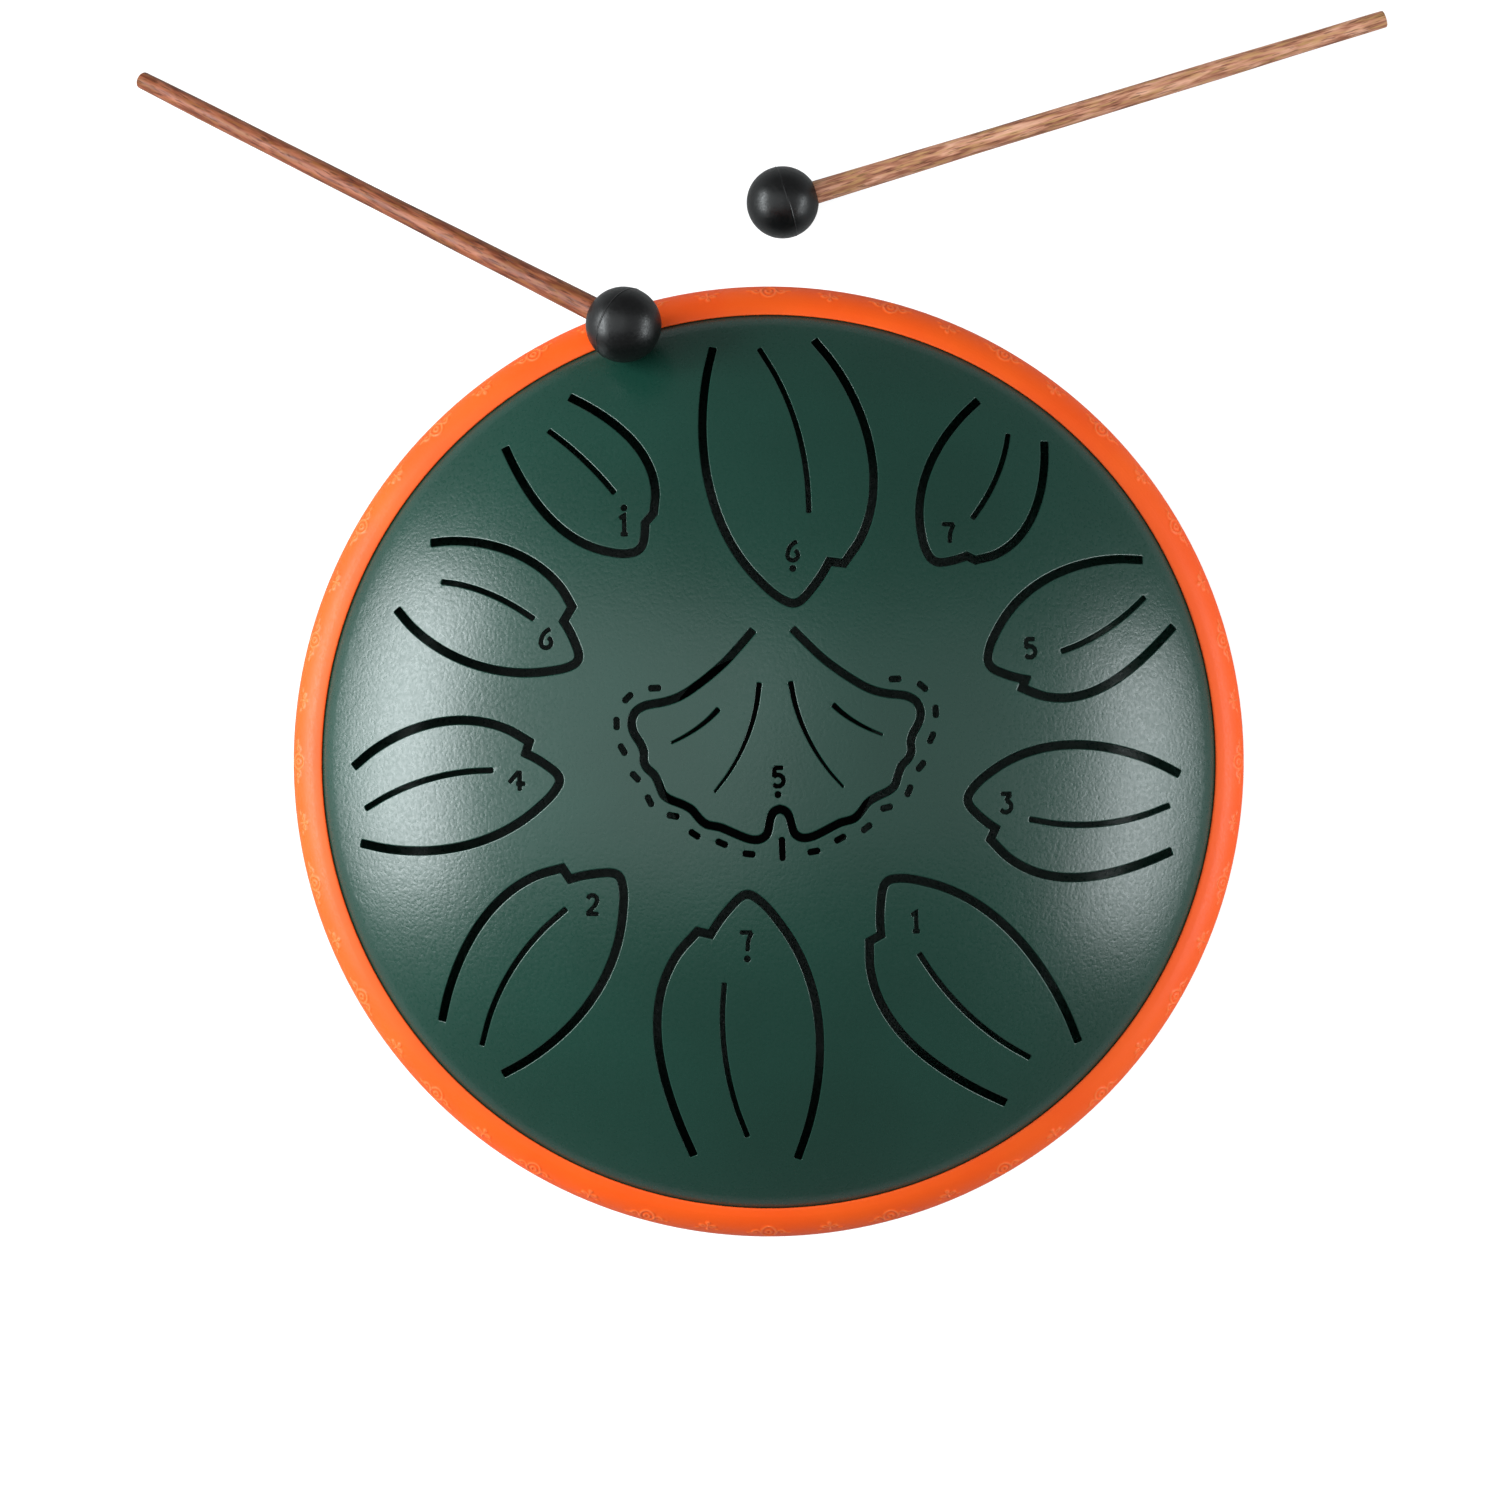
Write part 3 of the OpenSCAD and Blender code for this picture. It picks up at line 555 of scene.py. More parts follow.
class Bowl:
    """One surface pair of a bowl, measured up from the seam to its crown."""

    def __init__(self, height, round_r, rise):
        self.height, self.round_r = height, round_r
        self.round_z = height - rise - round_r
        self.round_x = SHELL_R - (round_r - cos(WALL_SLOPE) * (SHEET - self.round_z)) / sin(WALL_SLOPE)
        self.crown_r, self.start = None, 0.0
        if rise:
            self.crown_r = (self.round_x ** 2 + (height - self.round_z) ** 2 - round_r ** 2) / (2 * rise)
            self.start = np.arcsin(self.round_x / (self.crown_r - round_r))

    def surface(self, distance, inset):
        """Height of the outer surface, or of the one moved in by inset."""
        distance = np.asarray(distance, float)
        turned = np.clip(distance - self.round_x, 0, None)
        shoulder = self.round_z + np.sqrt(np.clip((self.round_r - inset) ** 2 - turned ** 2, 0, None))
        if self.crown_r is None:
            return np.where(distance < self.round_x, self.height - inset, shoulder)
        crown = self.height - self.crown_r + np.sqrt((self.crown_r - inset) ** 2 - distance ** 2)
        return np.where(distance < (self.crown_r - inset) * sin(self.start), crown, shoulder)

    def arc(self, inset, first, last):
        """The shoulder's round from one angle to another, as (across, up)."""
        turns = [first + (last - first) * k / SHOULDER_STEPS for k in range(SHOULDER_STEPS + 1)]
        return [(self.round_x + (self.round_r - inset) * sin(turn),
                 self.round_z + (self.round_r - inset) * cos(turn)) for turn in turns]

    def rim(self, edge_r):
        """The line from the outer surface at edge_r, round the flange, to the inner surface at edge_r."""
        from_out = np.arcsin((edge_r - self.round_x) / self.round_r)
        from_in = np.arcsin((edge_r - self.round_x) / (self.round_r - SHEET))
        outer, inner = self.arc(0, from_out, WALL_SLOPE), self.arc(SHEET, WALL_SLOPE, from_in)
        inner_foot = SHELL_R + SHEET / tan(WALL_SLOPE) - SHEET / sin(WALL_SLOPE)
        return outer[:-1] + rounded([
            (*outer[-1], 0), (SHELL_R, SHEET, BEND_ROUND), (FLANGE_R, SHEET, FLANGE_ROUND),
            (FLANGE_R, 0, SEAM_ROUND), (inner_foot, 0, BEND_ROUND), (*inner[0], 0)]) + inner[1:]


dome = Bowl(DOME_H, DOME_ROUND, CROWN_RISE)
pan = Bowl(PAN_H, PAN_ROUND, 0)

# %% [markdown]
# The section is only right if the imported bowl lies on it, so each packed point of the crown is measured
# against the nearer of the two surfaces.

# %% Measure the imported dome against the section
CROWN_WITHIN = 100 * MM

packed = np.array([(hypot(*v.co[:2]), v.co[2] - SEAM_Z) for v in nodes["top_shell"].data.vertices])
packed = packed[packed[:, 0] < CROWN_WITHIN]
misses = np.min([np.abs(packed[:, 1] - dome.surface(packed[:, 0], inset)) for inset in (0, SHEET)], axis=0)
print("crown radius:", round(dome.crown_r / MM, 1), "mm, farthest packed point off it:",
      round(misses.max() / MM, 3), "mm")

# %% [markdown]
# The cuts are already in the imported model, so their outlines are read from it instead of being drawn
# again: an outline is the chain of edges where the crown meets an upright cut wall. The chains are found by
# walking from point to point until each comes back to where it began.

# %% Read the outlines of the cuts
DOME_CUTS_WITHIN = 116 * MM
SAME_POINT = 0.002 * MM
FACES_UP, UPRIGHT = 0.3, 0.05


def cut_edges(work, within):
    """For each point on the edge of a cut, less than within from the axis, the points beside it there."""
    beside = {}
    for edge in work.edges:
        if len(edge.link_faces) != 2 or max(hypot(*v.co[:2]) for v in edge.verts) >= within:
            continue
        low, high = sorted(edge.link_faces, key=lambda f: f.normal.z)
        if high.normal.z > FACES_UP and abs(low.normal.z) < UPRIGHT:
            for here, there in (edge.verts, reversed(edge.verts)):
                beside.setdefault(here, []).append(there)
    return beside


def cut_outlines(node, within):
    """Closed outlines of the cuts in a node's upper surface, each an array of points that runs
    counterclockwise."""
    work = bmesh.new()
    work.from_mesh(node.data)
    bmesh.ops.remove_doubles(work, verts=work.verts, dist=SAME_POINT)
    beside, outlines = cut_edges(work, within), []
    while beside:
        chain, before = [next(iter(beside))], None
        while True:
            nexts = [v for v in beside[chain[-1]] if v is not before]
            before = chain[-1]
            if not nexts or nexts[0] is chain[0]:
                break
            chain.append(nexts[0])
        for v in chain:
            beside.pop(v, None)
        outline = np.array([v.co[:2] for v in chain])
        following = np.roll(outline, -1, 0)
        area = np.sum(outline[:, 0] * following[:, 1] - following[:, 0] * outline[:, 1]) / 2
        outlines.append(outline if area > 0 else outline[::-1])
    work.free()
    return outlines


packed_cuts = cut_outlines(nodes["top_shell"], DOME_CUTS_WITHIN)
print("cuts in the dome:", len(packed_cuts), "with", sum(len(c) for c in packed_cuts), "packed points")

# %% [markdown]
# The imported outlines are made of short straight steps. They are turned into flowing lines here, with a
# curve through the points of each stretch and a small radius at each true corner, as a cutter's own width
# leaves it. Points on a straight stretch go first, so that the curve isn't pulled about by them.

# %% Helpers for flowing outlines
STRAIGHT_TURN = radians(0.7)
LINE_STEP = 0.75 * MM


def turn_at(before, here, after):
    a, b = here - before, after - here
    return atan2(a[0] * b[1] - a[1] * b[0], a @ b)


def without_spare_points(outline):
    """The outline without the points that lie on a straight stretch of it."""
    kept = list(outline)
    while True:
        turns = [abs(turn_at(kept[i - 1], kept[i], kept[(i + 1) % len(kept)])) for i in range(len(kept))]
        least = int(np.argmin(turns))
        if turns[least] > STRAIGHT_TURN:
            return np.array(kept)
        kept.pop(least)


def through_points(points, closed):
    """A curve through points that are unevenly spaced, sampled every LINE_STEP or so."""
    count = len(points)
    gaps = [np.linalg.norm(points[(i + 1) % count] - points[i]) for i in range(count)]
    slopes = []
    for i in range(count):
        ahead = (points[(i + 1) % count] - points[i]) / gaps[i]
        back = (points[i] - points[i - 1]) / gaps[i - 1]
        if closed or 0 < i < count - 1:
            slopes.append((ahead * gaps[i - 1] + back * gaps[i]) / (gaps[i - 1] + gaps[i]))
        else:
            slopes.append(ahead if i == 0 else back)
    samples = []
    for i in range(count if closed else count - 1):
        p, q, m, n, gap = points[i], points[(i + 1) % count], slopes[i], slopes[(i + 1) % count], gaps[i]
        steps = max(1, round(gap / LINE_STEP))
        for k in range(steps):
            t = k / steps
            samples.append(p * (1 + 2 * t) * (1 - t) ** 2 + q * t ** 2 * (3 - 2 * t)
                           + m * gap * t * (1 - t) ** 2 - n * gap * t ** 2 * (1 - t))
    return samples if closed else samples + [points[-1]]

# %% [markdown]
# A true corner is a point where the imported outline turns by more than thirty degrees. The curve runs from
# corner to corner, and each corner is then cut back on both sides and rounded. Two corners that follow each
# other share the stretch between them.

# %% Smooth the outlines of the cuts
CORNER_TURN = radians(30)
CORNER_R = 0.42 * MM
SHARPEST_TURN = 2.6
ROOM, SHARED_ROOM = 0.8, 0.45


def corner_points(before, here, after, shared_back, shared_ahead):
    """The soft round that takes a corner's place. A stretch that ends in another corner is shared."""
    back, ahead = before - here, after - here
    back_length, ahead_length = np.linalg.norm(back), np.linalg.norm(ahead)
    room = min(back_length * (SHARED_ROOM if shared_back else ROOM),
               ahead_length * (SHARED_ROOM if shared_ahead else ROOM))
    turn = min(abs(turn_at(before, here, after)), SHARPEST_TURN)
    cut = min(CORNER_R * tan(turn / 2), room)
    return soft_corner(here + back / back_length * cut, here, here + ahead / ahead_length * cut)


def flowing(outline):
    """The outline with its steps smoothed and its corners rounded."""
    count = len(outline)
    corners = [i for i in range(count)
               if abs(turn_at(outline[i - 1], outline[i], outline[(i + 1) % count])) > CORNER_TURN]
    if not corners:
        return np.array(through_points(list(outline), True))
    line, is_corner = [], []
    for first, last in zip(corners, corners[1:] + [corners[0] + count]):
        run = through_points([outline[i % count] for i in range(first, last + 1)], False)[:-1]
        line += run
        is_corner += [True] + [False] * (len(run) - 1)
    smooth = []
    for i, here in enumerate(line):
        n = (i + 1) % len(line)
        smooth += (corner_points(line[i - 1], here, line[n], is_corner[i - 1], is_corner[n])
                   if is_corner[i] else [here])
    return np.array(smooth)


dome_cuts = [flowing(without_spare_points(outline)) for outline in packed_cuts]
print("points of the smooth cuts:", sum(len(c) for c in dome_cuts))

# %% [markdown]
# A pressed sheet with cuts is made in layers. A net of triangles covers the outer surface up to the edge
# of each cut, then a few rings roll over the rounded edge, one wall goes down through the sheet, and a
# second net closes the inner surface. These helpers say what lies in an opening, move an outline away from
# its opening, and lay points on circles.

# %% Helpers for openings
EDGE_ROUND = 0.28 * MM
FINE_EDGE_ROUND = 0.10 * MM
FIGURE_SIZE = 8 * MM
LEAST_MITRE = 0.6


def inside_outline(points, outline):
    """Which points lie inside a closed outline."""
    inside = np.zeros(len(points), bool)
    for a, b in zip(outline, np.roll(outline, -1, 0)):
        crosses = (a[1] > points[:, 1]) != (b[1] > points[:, 1])
        with np.errstate(divide="ignore", invalid="ignore"):
            at = (b[0] - a[0]) * (points[:, 1] - a[1]) / (b[1] - a[1]) + a[0]
        inside ^= crosses & (points[:, 0] < at)
    return inside


def moved_out(outline, distance):
    """The outline moved away from the opening that it goes round."""
    def out(step):
        step = np.column_stack([step[:, 1], -step[:, 0]])
        return step / np.linalg.norm(step, axis=1)[:, None]
    back, ahead = out(outline - np.roll(outline, 1, 0)), out(np.roll(outline, -1, 0) - outline)
    mitre = np.maximum(1 + np.sum(back * ahead, axis=1), LEAST_MITRE)
    return outline + distance * (back + ahead) / mitre[:, None]


def edge_round(outline):
    """How far the sheet's edge rolls over at a cut: less at the small figures, which stand close together."""
    return FINE_EDGE_ROUND if np.ptp(outline, axis=0).max() < FIGURE_SIZE else EDGE_ROUND


def turns_round(steps):
    return 2 * pi * np.arange(steps) / steps


def circle(centre, radius, steps):
    """Flat points of a circle."""
    turns = turns_round(steps)
    return np.column_stack([centre[0] + radius * np.cos(turns), centre[1] + radius * np.sin(turns)])


def ring_points(turns, across, up):
    """Points round Z at the given turns. Across and up are one number each, or one for each turn."""
    return np.column_stack([across * np.cos(turns), across * np.sin(turns), np.broadcast_to(up, len(turns))])

# %% [markdown]
# The nets are flat first, from a triangulation that respects the outlines, and are then lifted to the
# bowl's height. Points far from the cuts lie on a regular grid, so the crown shades evenly, and the grid
# keeps a gap to every cut, so that no triangle there is a sliver.

# %% The flat net
GRID = 2.2 * MM
GRID_GAP = 1.45 * MM
GRID_FROM_RIM = 0.6 * GRID
RIM_STEPS = 480
CLOSER_THAN = 1e-6


def far_from(grid, lines, gap):
    """Which grid points keep that gap to every point of the lines."""
    clear = np.ones(len(grid), bool)
    for line in lines:
        low, high = line.min(0) - gap, line.max(0) + gap
        close = np.flatnonzero(np.all((grid > low) & (grid < high), axis=1) & clear)
        if len(close):
            apart = np.linalg.norm(grid[close][:, None] - line[None], axis=2).min(1)
            clear[close[apart < gap]] = False
    return clear


def grid_between(outlines, edge_r):
    """A grid of points, every other row moved by half a step, clear of the rim and of the openings."""
    across = np.arange(-edge_r, edge_r, GRID)
    rows = [np.column_stack([across + (GRID / 2) * (k % 2), np.full(len(across), y)])
            for k, y in enumerate(np.arange(-edge_r, edge_r, GRID * sqrt(3) / 2))]
    grid = np.concatenate(rows)
    grid = grid[np.linalg.norm(grid, axis=1) < edge_r - GRID_FROM_RIM]
    grid = grid[far_from(grid, outlines, GRID_GAP)]
    for line in outlines:
        grid = grid[~inside_outline(grid, line)]
    return grid


def net(outlines, edge_r):
    """Flat points and triangles of a disc with openings, and where each outline's points are."""
    lines = [circle((0, 0), edge_r, RIM_STEPS)] + list(outlines)
    given = np.concatenate(lines + [grid_between(outlines, edge_r)])
    starts = np.cumsum([0] + [len(line) for line in lines])
    edges = [(s + k, s + (k + 1) % len(line)) for s, line in zip(starts, lines) for k in range(len(line))]
    flat, _, faces, origins = delaunay_2d_cdt([Vector(p / MM) for p in given], edges, [], 0, CLOSER_THAN)[:4]
    found = np.full(len(given), -1)
    for k, sources in enumerate(origins):
        found[list(sources)] = k
    flat = np.array([tuple(p) for p in flat]) * MM
    faces = np.array(faces)
    middles = flat[faces].mean(1)
    drop = np.zeros(len(faces), bool)
    for line in outlines:
        low, high = line.min(0), line.max(0)
        close = np.flatnonzero(np.all((middles > low) & (middles < high), axis=1))
        drop[close] |= inside_outline(middles[close], line)
    places = [found[s:s + len(line)] for s, line in zip(starts, lines)]
    print("net:", len(flat), "points,", len(given) - len(set(found)), "merged,",
          len(flat) - len(given), "added,", int(drop.sum()), "triangles in the openings")
    return flat, faces[~drop], places

# %% [markdown]
# The two nets are joined at every opening by the rolled edge and the wall, and round the outside by the
# shoulder, the wall and the flange, which are plain rings.

# %% The pressed sheet
def lifted(bowl, flat, inset, drop=0.0):
    """Flat points lifted to a bowl's surface, or to a little below it."""
    return np.column_stack([flat, bowl.surface(np.linalg.norm(flat, axis=1), inset) - drop])


def pressed_sheet(bowl, outlines, edge_r):
    """Points and faces of a bowl with openings, measured up from the seam."""
    outer, outer_faces, outer_places = net([moved_out(line, edge_round(line)) for line in outlines], edge_r)
    inner, inner_faces, inner_places = net(outlines, edge_r)
    rows = [lifted(bowl, outer, 0), lifted(bowl, inner, SHEET)]
    first_inner = len(outer)
    faces = [tuple(f) for f in outer_faces] + [tuple(first_inner + f[::-1]) for f in inner_faces]

    def keep(row):
        """Keeps a row of points, and says which numbers they have."""
        first = sum(len(kept) for kept in rows)
        rows.append(row)
        return np.arange(first, first + len(row))

    for line, above, under in zip(outlines, outer_places[1:], inner_places[1:]):
        rolls = edge_round(line)
        for k in range(1, ROUND_STEPS + 1):
            turn = pi / 2 * k / ROUND_STEPS
            below = keep(lifted(bowl, moved_out(line, rolls * (1 - sin(turn))), 0, rolls * (1 - cos(turn))))
            faces += joined(above, below)
            above = below
        faces += joined(above, first_inner + under)

    above = outer_places[0]
    for across, up in bowl.rim(edge_r)[1:-1]:
        below = keep(ring_points(turns_round(RIM_STEPS), across, up))
        faces += turned_over(joined(above, below))
        above = below
    faces += turned_over(joined(above, first_inner + inner_places[0]))
    return np.concatenate(rows), [tuple(int(v) for v in f) for f in faces]

# %% [markdown]
# The upper bowl carries the tongues. Its net ends just outside the roots of the tongues, where the
# shoulder begins to turn down, and from there on plain rings are enough. Weighted normals keep the shading
# of its broad faces clear of the small ones that round their edges.

# %% Upper bowl
DOME_NET_R = 115.2 * MM
NORMALS_WEIGHT = 60


def hold_flat_faces(made):
    keep = made.modifiers.new("weighted_normals", "WEIGHTED_NORMAL")
    keep.keep_sharp, keep.weight = True, NORMALS_WEIGHT


points, faces = pressed_sheet(dome, dome_cuts, DOME_NET_R)
points[:, 2] += SEAM_Z
hold_flat_faces(piece("upper_bowl", points, faces, green_coat, "drum", "top_shell"))

# %% [markdown]
# The lower bowl is the same sheet upside down, with the sound hole in the middle of its flat base and a
# hole for each foot's screw. Its openings are circles, and it goes through the same steps. Turning it
# over means turning its faces over too.

# %% Lower bowl
SOUND_HOLE_R, SOUND_HOLE_STEPS = 30 * MM, 192
SCREW_HOLE_R, SCREW_HOLE_STEPS = 2.2 * MM, 32
PAN_NET_R = 90 * MM

foot_places = []
for k in range(4):
    low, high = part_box(f"foot_{k + 1}")
    foot_places.append(((low[0] + high[0]) / 2, (low[1] + high[1]) / 2))
print("feet at", [[round(v / MM, 1) for v in at] for at in foot_places])

pan_cuts = [circle((0, 0), SOUND_HOLE_R, SOUND_HOLE_STEPS)]
pan_cuts += [circle(at, SCREW_HOLE_R, SCREW_HOLE_STEPS) for at in foot_places]
points, faces = pressed_sheet(pan, pan_cuts, PAN_NET_R)
points[:, 2] = SEAM_Z - points[:, 2]
hold_flat_faces(piece("lower_bowl", points, turned_over(faces), green_coat, "drum",
                      "bottom_shell"))

# %% [markdown]
# The rubber ring is moulded in one piece: a round outside, a groove inside that grips the flanges, and two
# lips that hug the bowls above and below it. Its outside bears a shallow raised border, a ring between
# scrolls every fifteen degrees and a sprig midway, which is drawn here as lines of points. It is drawn
# taller than wide, because it lies on the part of the round that leans away from the camera.

# %% The ornament's strokes
MOTIFS = 24
STROKE_SAMPLE = 0.07 * MM
DRAWN_TALLER = 1.25


def curl(centre, radius, from_turn, to_turn, shrink=1.0):
    """Points of an arc, in degrees, that may wind inwards as it goes."""
    count = max(2, ceil(abs(radians(to_turn - from_turn)) * radius / STROKE_SAMPLE * MM))
    line = []
    for k in range(count + 1):
        turn = radians(from_turn + (to_turn - from_turn) * k / count)
        r = radius * (1 - (1 - shrink) * k / count)
        line.append((centre[0] + r * cos(turn), centre[1] + r * sin(turn)))
    return line


def straight(a, b):
    count = max(1, ceil(hypot(b[0] - a[0], b[1] - a[1]) / STROKE_SAMPLE * MM))
    return [(a[0] + (b[0] - a[0]) * k / count, a[1] + (b[1] - a[1]) * k / count) for k in range(count + 1)]


def both_sides(line):
    return line + [(-x, y) for x, y in line]


# Millimetres from the middle of each motif, with up towards the drum's crown
SCROLL = np.array(
    curl((0, -0.3), 1.95, 0, 360) + curl((0, -0.3), 0.75, 0, 360)
    + both_sides(curl((3.3, -0.75), 1.15, 175, 20) + curl((3.55, -0.35), 0.80, 20, -150, 0.45)
                 + curl((5.35, 1.05), 1.75, 205, 285))) * (1, DRAWN_TALLER)
SPRIG = np.array(
    both_sides(curl((1.35, -0.2), 1.0, 150, 35) + curl((1.0, 1.0), 0.95, -10, -95)
               + straight((2.3, -0.5), (3.1, -0.75)))
    + curl((0, 1.45), 0.32, 0, 360) + straight((0, 0.7), (0, -1.0))) * (1, DRAWN_TALLER)
print("points of a scroll and a sprig:", len(SCROLL), len(SPRIG))

# %% [markdown]
# Ornament this fine has to be real relief, because from the side it breaks the ring's outline. So the upper
# part of the round is a dense band whose points are pushed out by a height that falls off from the nearest
# stroke, and fades out at the band's two edges. All the repeats are alike, so one is measured and copied.

# %% The ring's band
RING_R = 127 * MM
BULGE_R = 10.8 * MM
STROKE_HALF = 0.42 * MM
RELIEF = 0.26 * MM
# Degrees up from the ring's widest line, for the band's two edges and the middle of its ornament
BAND_FROM, BAND_TO, BAND_MIDDLE = 53, 15, 36
BAND_STEPS = 27
REPEAT_STEPS = 108
# The distances to the strokes are measured in so many parts, to save memory
MEASURED_IN = 16
FADE_ABOVE, FADE_BELOW = 0.05, 0.06

bulge_x = RING_R - BULGE_R
band_turns = np.radians(np.linspace(BAND_FROM, BAND_TO, BAND_STEPS))


def on_bulge(turn, out=0.0):
    """A place on the ring's round, as (across, up from the seam), or so far out from it."""
    return bulge_x + (BULGE_R + out) * np.cos(turn), (BULGE_R + out) * np.sin(turn)


def raised_and_painted_highlight(along, up):
    """Height of the relief at a place in one repeat, both in metres."""
    half_repeat = pi * RING_R / MOTIFS
    strokes = np.concatenate([SCROLL * MM, SPRIG * MM + (half_repeat, 0), SPRIG * MM - (half_repeat, 0)])
    places = np.column_stack([along.ravel(), up.ravel()])
    apart = np.concatenate([np.linalg.norm(part[:, None] - strokes[None], axis=2).min(1)
                            for part in np.array_split(places, MEASURED_IN)])
    rise = np.clip(1 - apart / STROKE_HALF, 0, 1)
    return (RELIEF * rise * rise * (3 - 2 * rise)).reshape(along.shape)


repeat = 2 * pi / MOTIFS
local = repeat * (np.arange(REPEAT_STEPS) / REPEAT_STEPS - 0.5)
turns = np.concatenate([local + repeat * k for k in range(MOTIFS)])
fade = np.clip(np.minimum((band_turns[0] - band_turns) / FADE_ABOVE,
                          (band_turns - band_turns[-1]) / FADE_BELOW), 0, 1)
along, up = np.meshgrid(local * RING_R, (band_turns - radians(BAND_MIDDLE)) * BULGE_R)
heights = np.tile(raised_and_painted_highlight(along, up), (1, MOTIFS)) * fade[:, None]
print("band:", heights.size, "points, highest", round(heights.max() / MM, 3), "mm")

# %% [markdown]
# The rest of the ring's section follows the bowls: from the band over a rounded lip, down along the
# shoulder and the wall at a hair's distance, and into the groove that holds the flanges. The lower half is
# the same line for the lower bowl, mirrored.

# %% The ring's section
LIP_H = 11 * MM
LIP_ROUND, LIP_STEPS = 0.55 * MM, 8
LIP_GAP = 0.12 * MM
LIP_SEARCH = 1001
OVER_LIP = radians(15)
HUG_FROM, HUG_TO, HUG_STEPS = 2.4 * MM, 0.9 * MM, 8
CHANNEL_R = 124.0 * MM
CHANNEL_LIP, CHANNEL_IN, CHANNEL_GAP = 0.4 * MM, 0.6 * MM, 0.02 * MM
CHANNEL_ROUND, CHANNEL_EDGE_ROUND = 0.3 * MM, 0.2 * MM
ABOVE_BAND_STEPS, BELOW_BAND_STEPS = 4, 16


def lip_r(bowl, up):
    """How far from the axis the ring's lip is, where it hugs the wall and then the shoulder of a bowl."""
    if up < bowl.round_z + bowl.round_r * cos(WALL_SLOPE):
        return SHELL_R + (SHEET - up) / tan(WALL_SLOPE) + LIP_GAP
    return bowl.round_x + sqrt((bowl.round_r + LIP_GAP) ** 2 - (up - bowl.round_z) ** 2)


def half_section(bowl):
    """Half the ring's section, from the top of the band over the lip to the back of the groove."""
    edge = [up for up in np.linspace(0, LIP_H, LIP_SEARCH)
            if hypot(lip_r(bowl, up) - bulge_x, up) < BULGE_R][-1]
    over = atan2(edge, lip_r(bowl, edge) - bulge_x)
    outside = [on_bulge(t) for t in np.linspace(band_turns[0], over - OVER_LIP, ABOVE_BAND_STEPS)]
    hug = [(lip_r(bowl, up), up) for up in np.linspace(edge - HUG_FROM, SHEET + HUG_TO, HUG_STEPS)]
    tip = rounded([outside[-1], (lip_r(bowl, edge), edge, LIP_ROUND), hug[0]], LIP_STEPS)
    groove = rounded([hug[-1], (lip_r(bowl, SHEET + CHANNEL_LIP), SHEET + CHANNEL_LIP, CHANNEL_ROUND),
                      (lip_r(bowl, SHEET) + CHANNEL_IN, SHEET + CHANNEL_GAP, CHANNEL_EDGE_ROUND),
                      (CHANNEL_R, SHEET + CHANNEL_GAP, CHANNEL_ROUND), (CHANNEL_R, 0)])
    return outside[:-1] + tip + hug[1:-1] + groove


lower_half = [(x, -z) for x, z in reversed(half_section(pan))]
section = half_section(dome)[1:] + lower_half[1:-1] + [
    on_bulge(t) for t in np.linspace(-band_turns[0], band_turns[-1] / 2, BELOW_BAND_STEPS)]
print("section:", len(section), "points")

# %% [markdown]
# Only the band needs so many points round the drum. The rest takes every twelfth of its turns, and a face
# with many corners closes each gap between a coarse step and the fine points of the band's edge.

# %% Rubber ring
COARSE = 12
RING_SHARP = 60


def mark(made, name, values):
    """A number on each point of a piece, for its material to read by name."""
    layer = made.data.attributes.new(name, "FLOAT", "POINT")
    layer.data.foreach_set("value", np.asarray(values, dtype=np.float32))


def numbered(first, rows, count):
    """The numbers of the points in so many rows, from a first number on."""
    return [np.arange(first + r * count, first + (r + 1) * count) for r in range(rows)]


coarse_turns = turns[::COARSE]
around, count = len(turns), len(coarse_turns)
band = numbered(0, BAND_STEPS, around)
coarse = numbered(BAND_STEPS * around, len(section), count)
points = np.concatenate([ring_points(turns, *on_bulge(turn, row)) for turn, row in zip(band_turns, heights)]
                        + [ring_points(coarse_turns, across, up) for across, up in section])
points[:, 2] += SEAM_Z
faces = [(low[k], high[k], high[(k + 1) % around], low[(k + 1) % around])
         for low, high in zip(band, band[1:]) for k in range(around)]
for low, high in zip(coarse, coarse[1:]):
    faces += turned_over(joined(low, high))
for k in range(count):
    n = (k + 1) % count
    fine = [(k * COARSE + j) % around for j in range(COARSE + 1)]
    faces.append([band[0][j] for j in fine] + [coarse[0][n], coarse[0][k]])
    faces.append([band[-1][j] for j in fine][::-1] + [coarse[-1][k], coarse[-1][n]])
rim_ring = piece("ring", points, [tuple(int(v) for v in f) for f in faces], orange_rubber, "drum",
                 "rim_ring", sharp=RING_SHARP)
# The share of the relief's height on each point sets the painted highlight on the ornament
mark(rim_ring, "raised_and_painted_highlight", np.append(heights.ravel() / RELIEF, np.zeros(len(points) - heights.size)))

# %% [markdown]
# The weld bead stays inside the ring's groove, out of sight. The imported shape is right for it, so it only
# takes its finish.

# %% Weld bead
weld = nodes["flange_weld"]
weld.data.materials.clear()
weld.data.materials.append(weld_steel)
print("weld bead:", len(weld.data.vertices), "packed points")

# %% [markdown]
# A foot is a small moulded cone with soft edges, a shallow groove round its floor face and a recess for the
# screw. All four are the same, so a function puts one at each place.

# %% Feet
FOOT_H, FOOT_TOP_R, FOOT_FLOOR_R = 8 * MM, 9 * MM, 7.8 * MM
FOOT_CHAMFER = 0.8 * MM
RECESS_R, RECESS_DEPTH = 4.6 * MM, 4 * MM
GROOVE_DEPTH, GROOVE_ROUND = 0.25 * MM, 0.1 * MM
# How far in from the floor face's edge the groove's two walls begin and end
GROOVE_INNER, GROOVE_OUTER = (1.9 * MM, 1.7 * MM), (1.4 * MM, 1.2 * MM)
FOOT_BELT = 0.5 * MM
FOOT_STEPS = 96

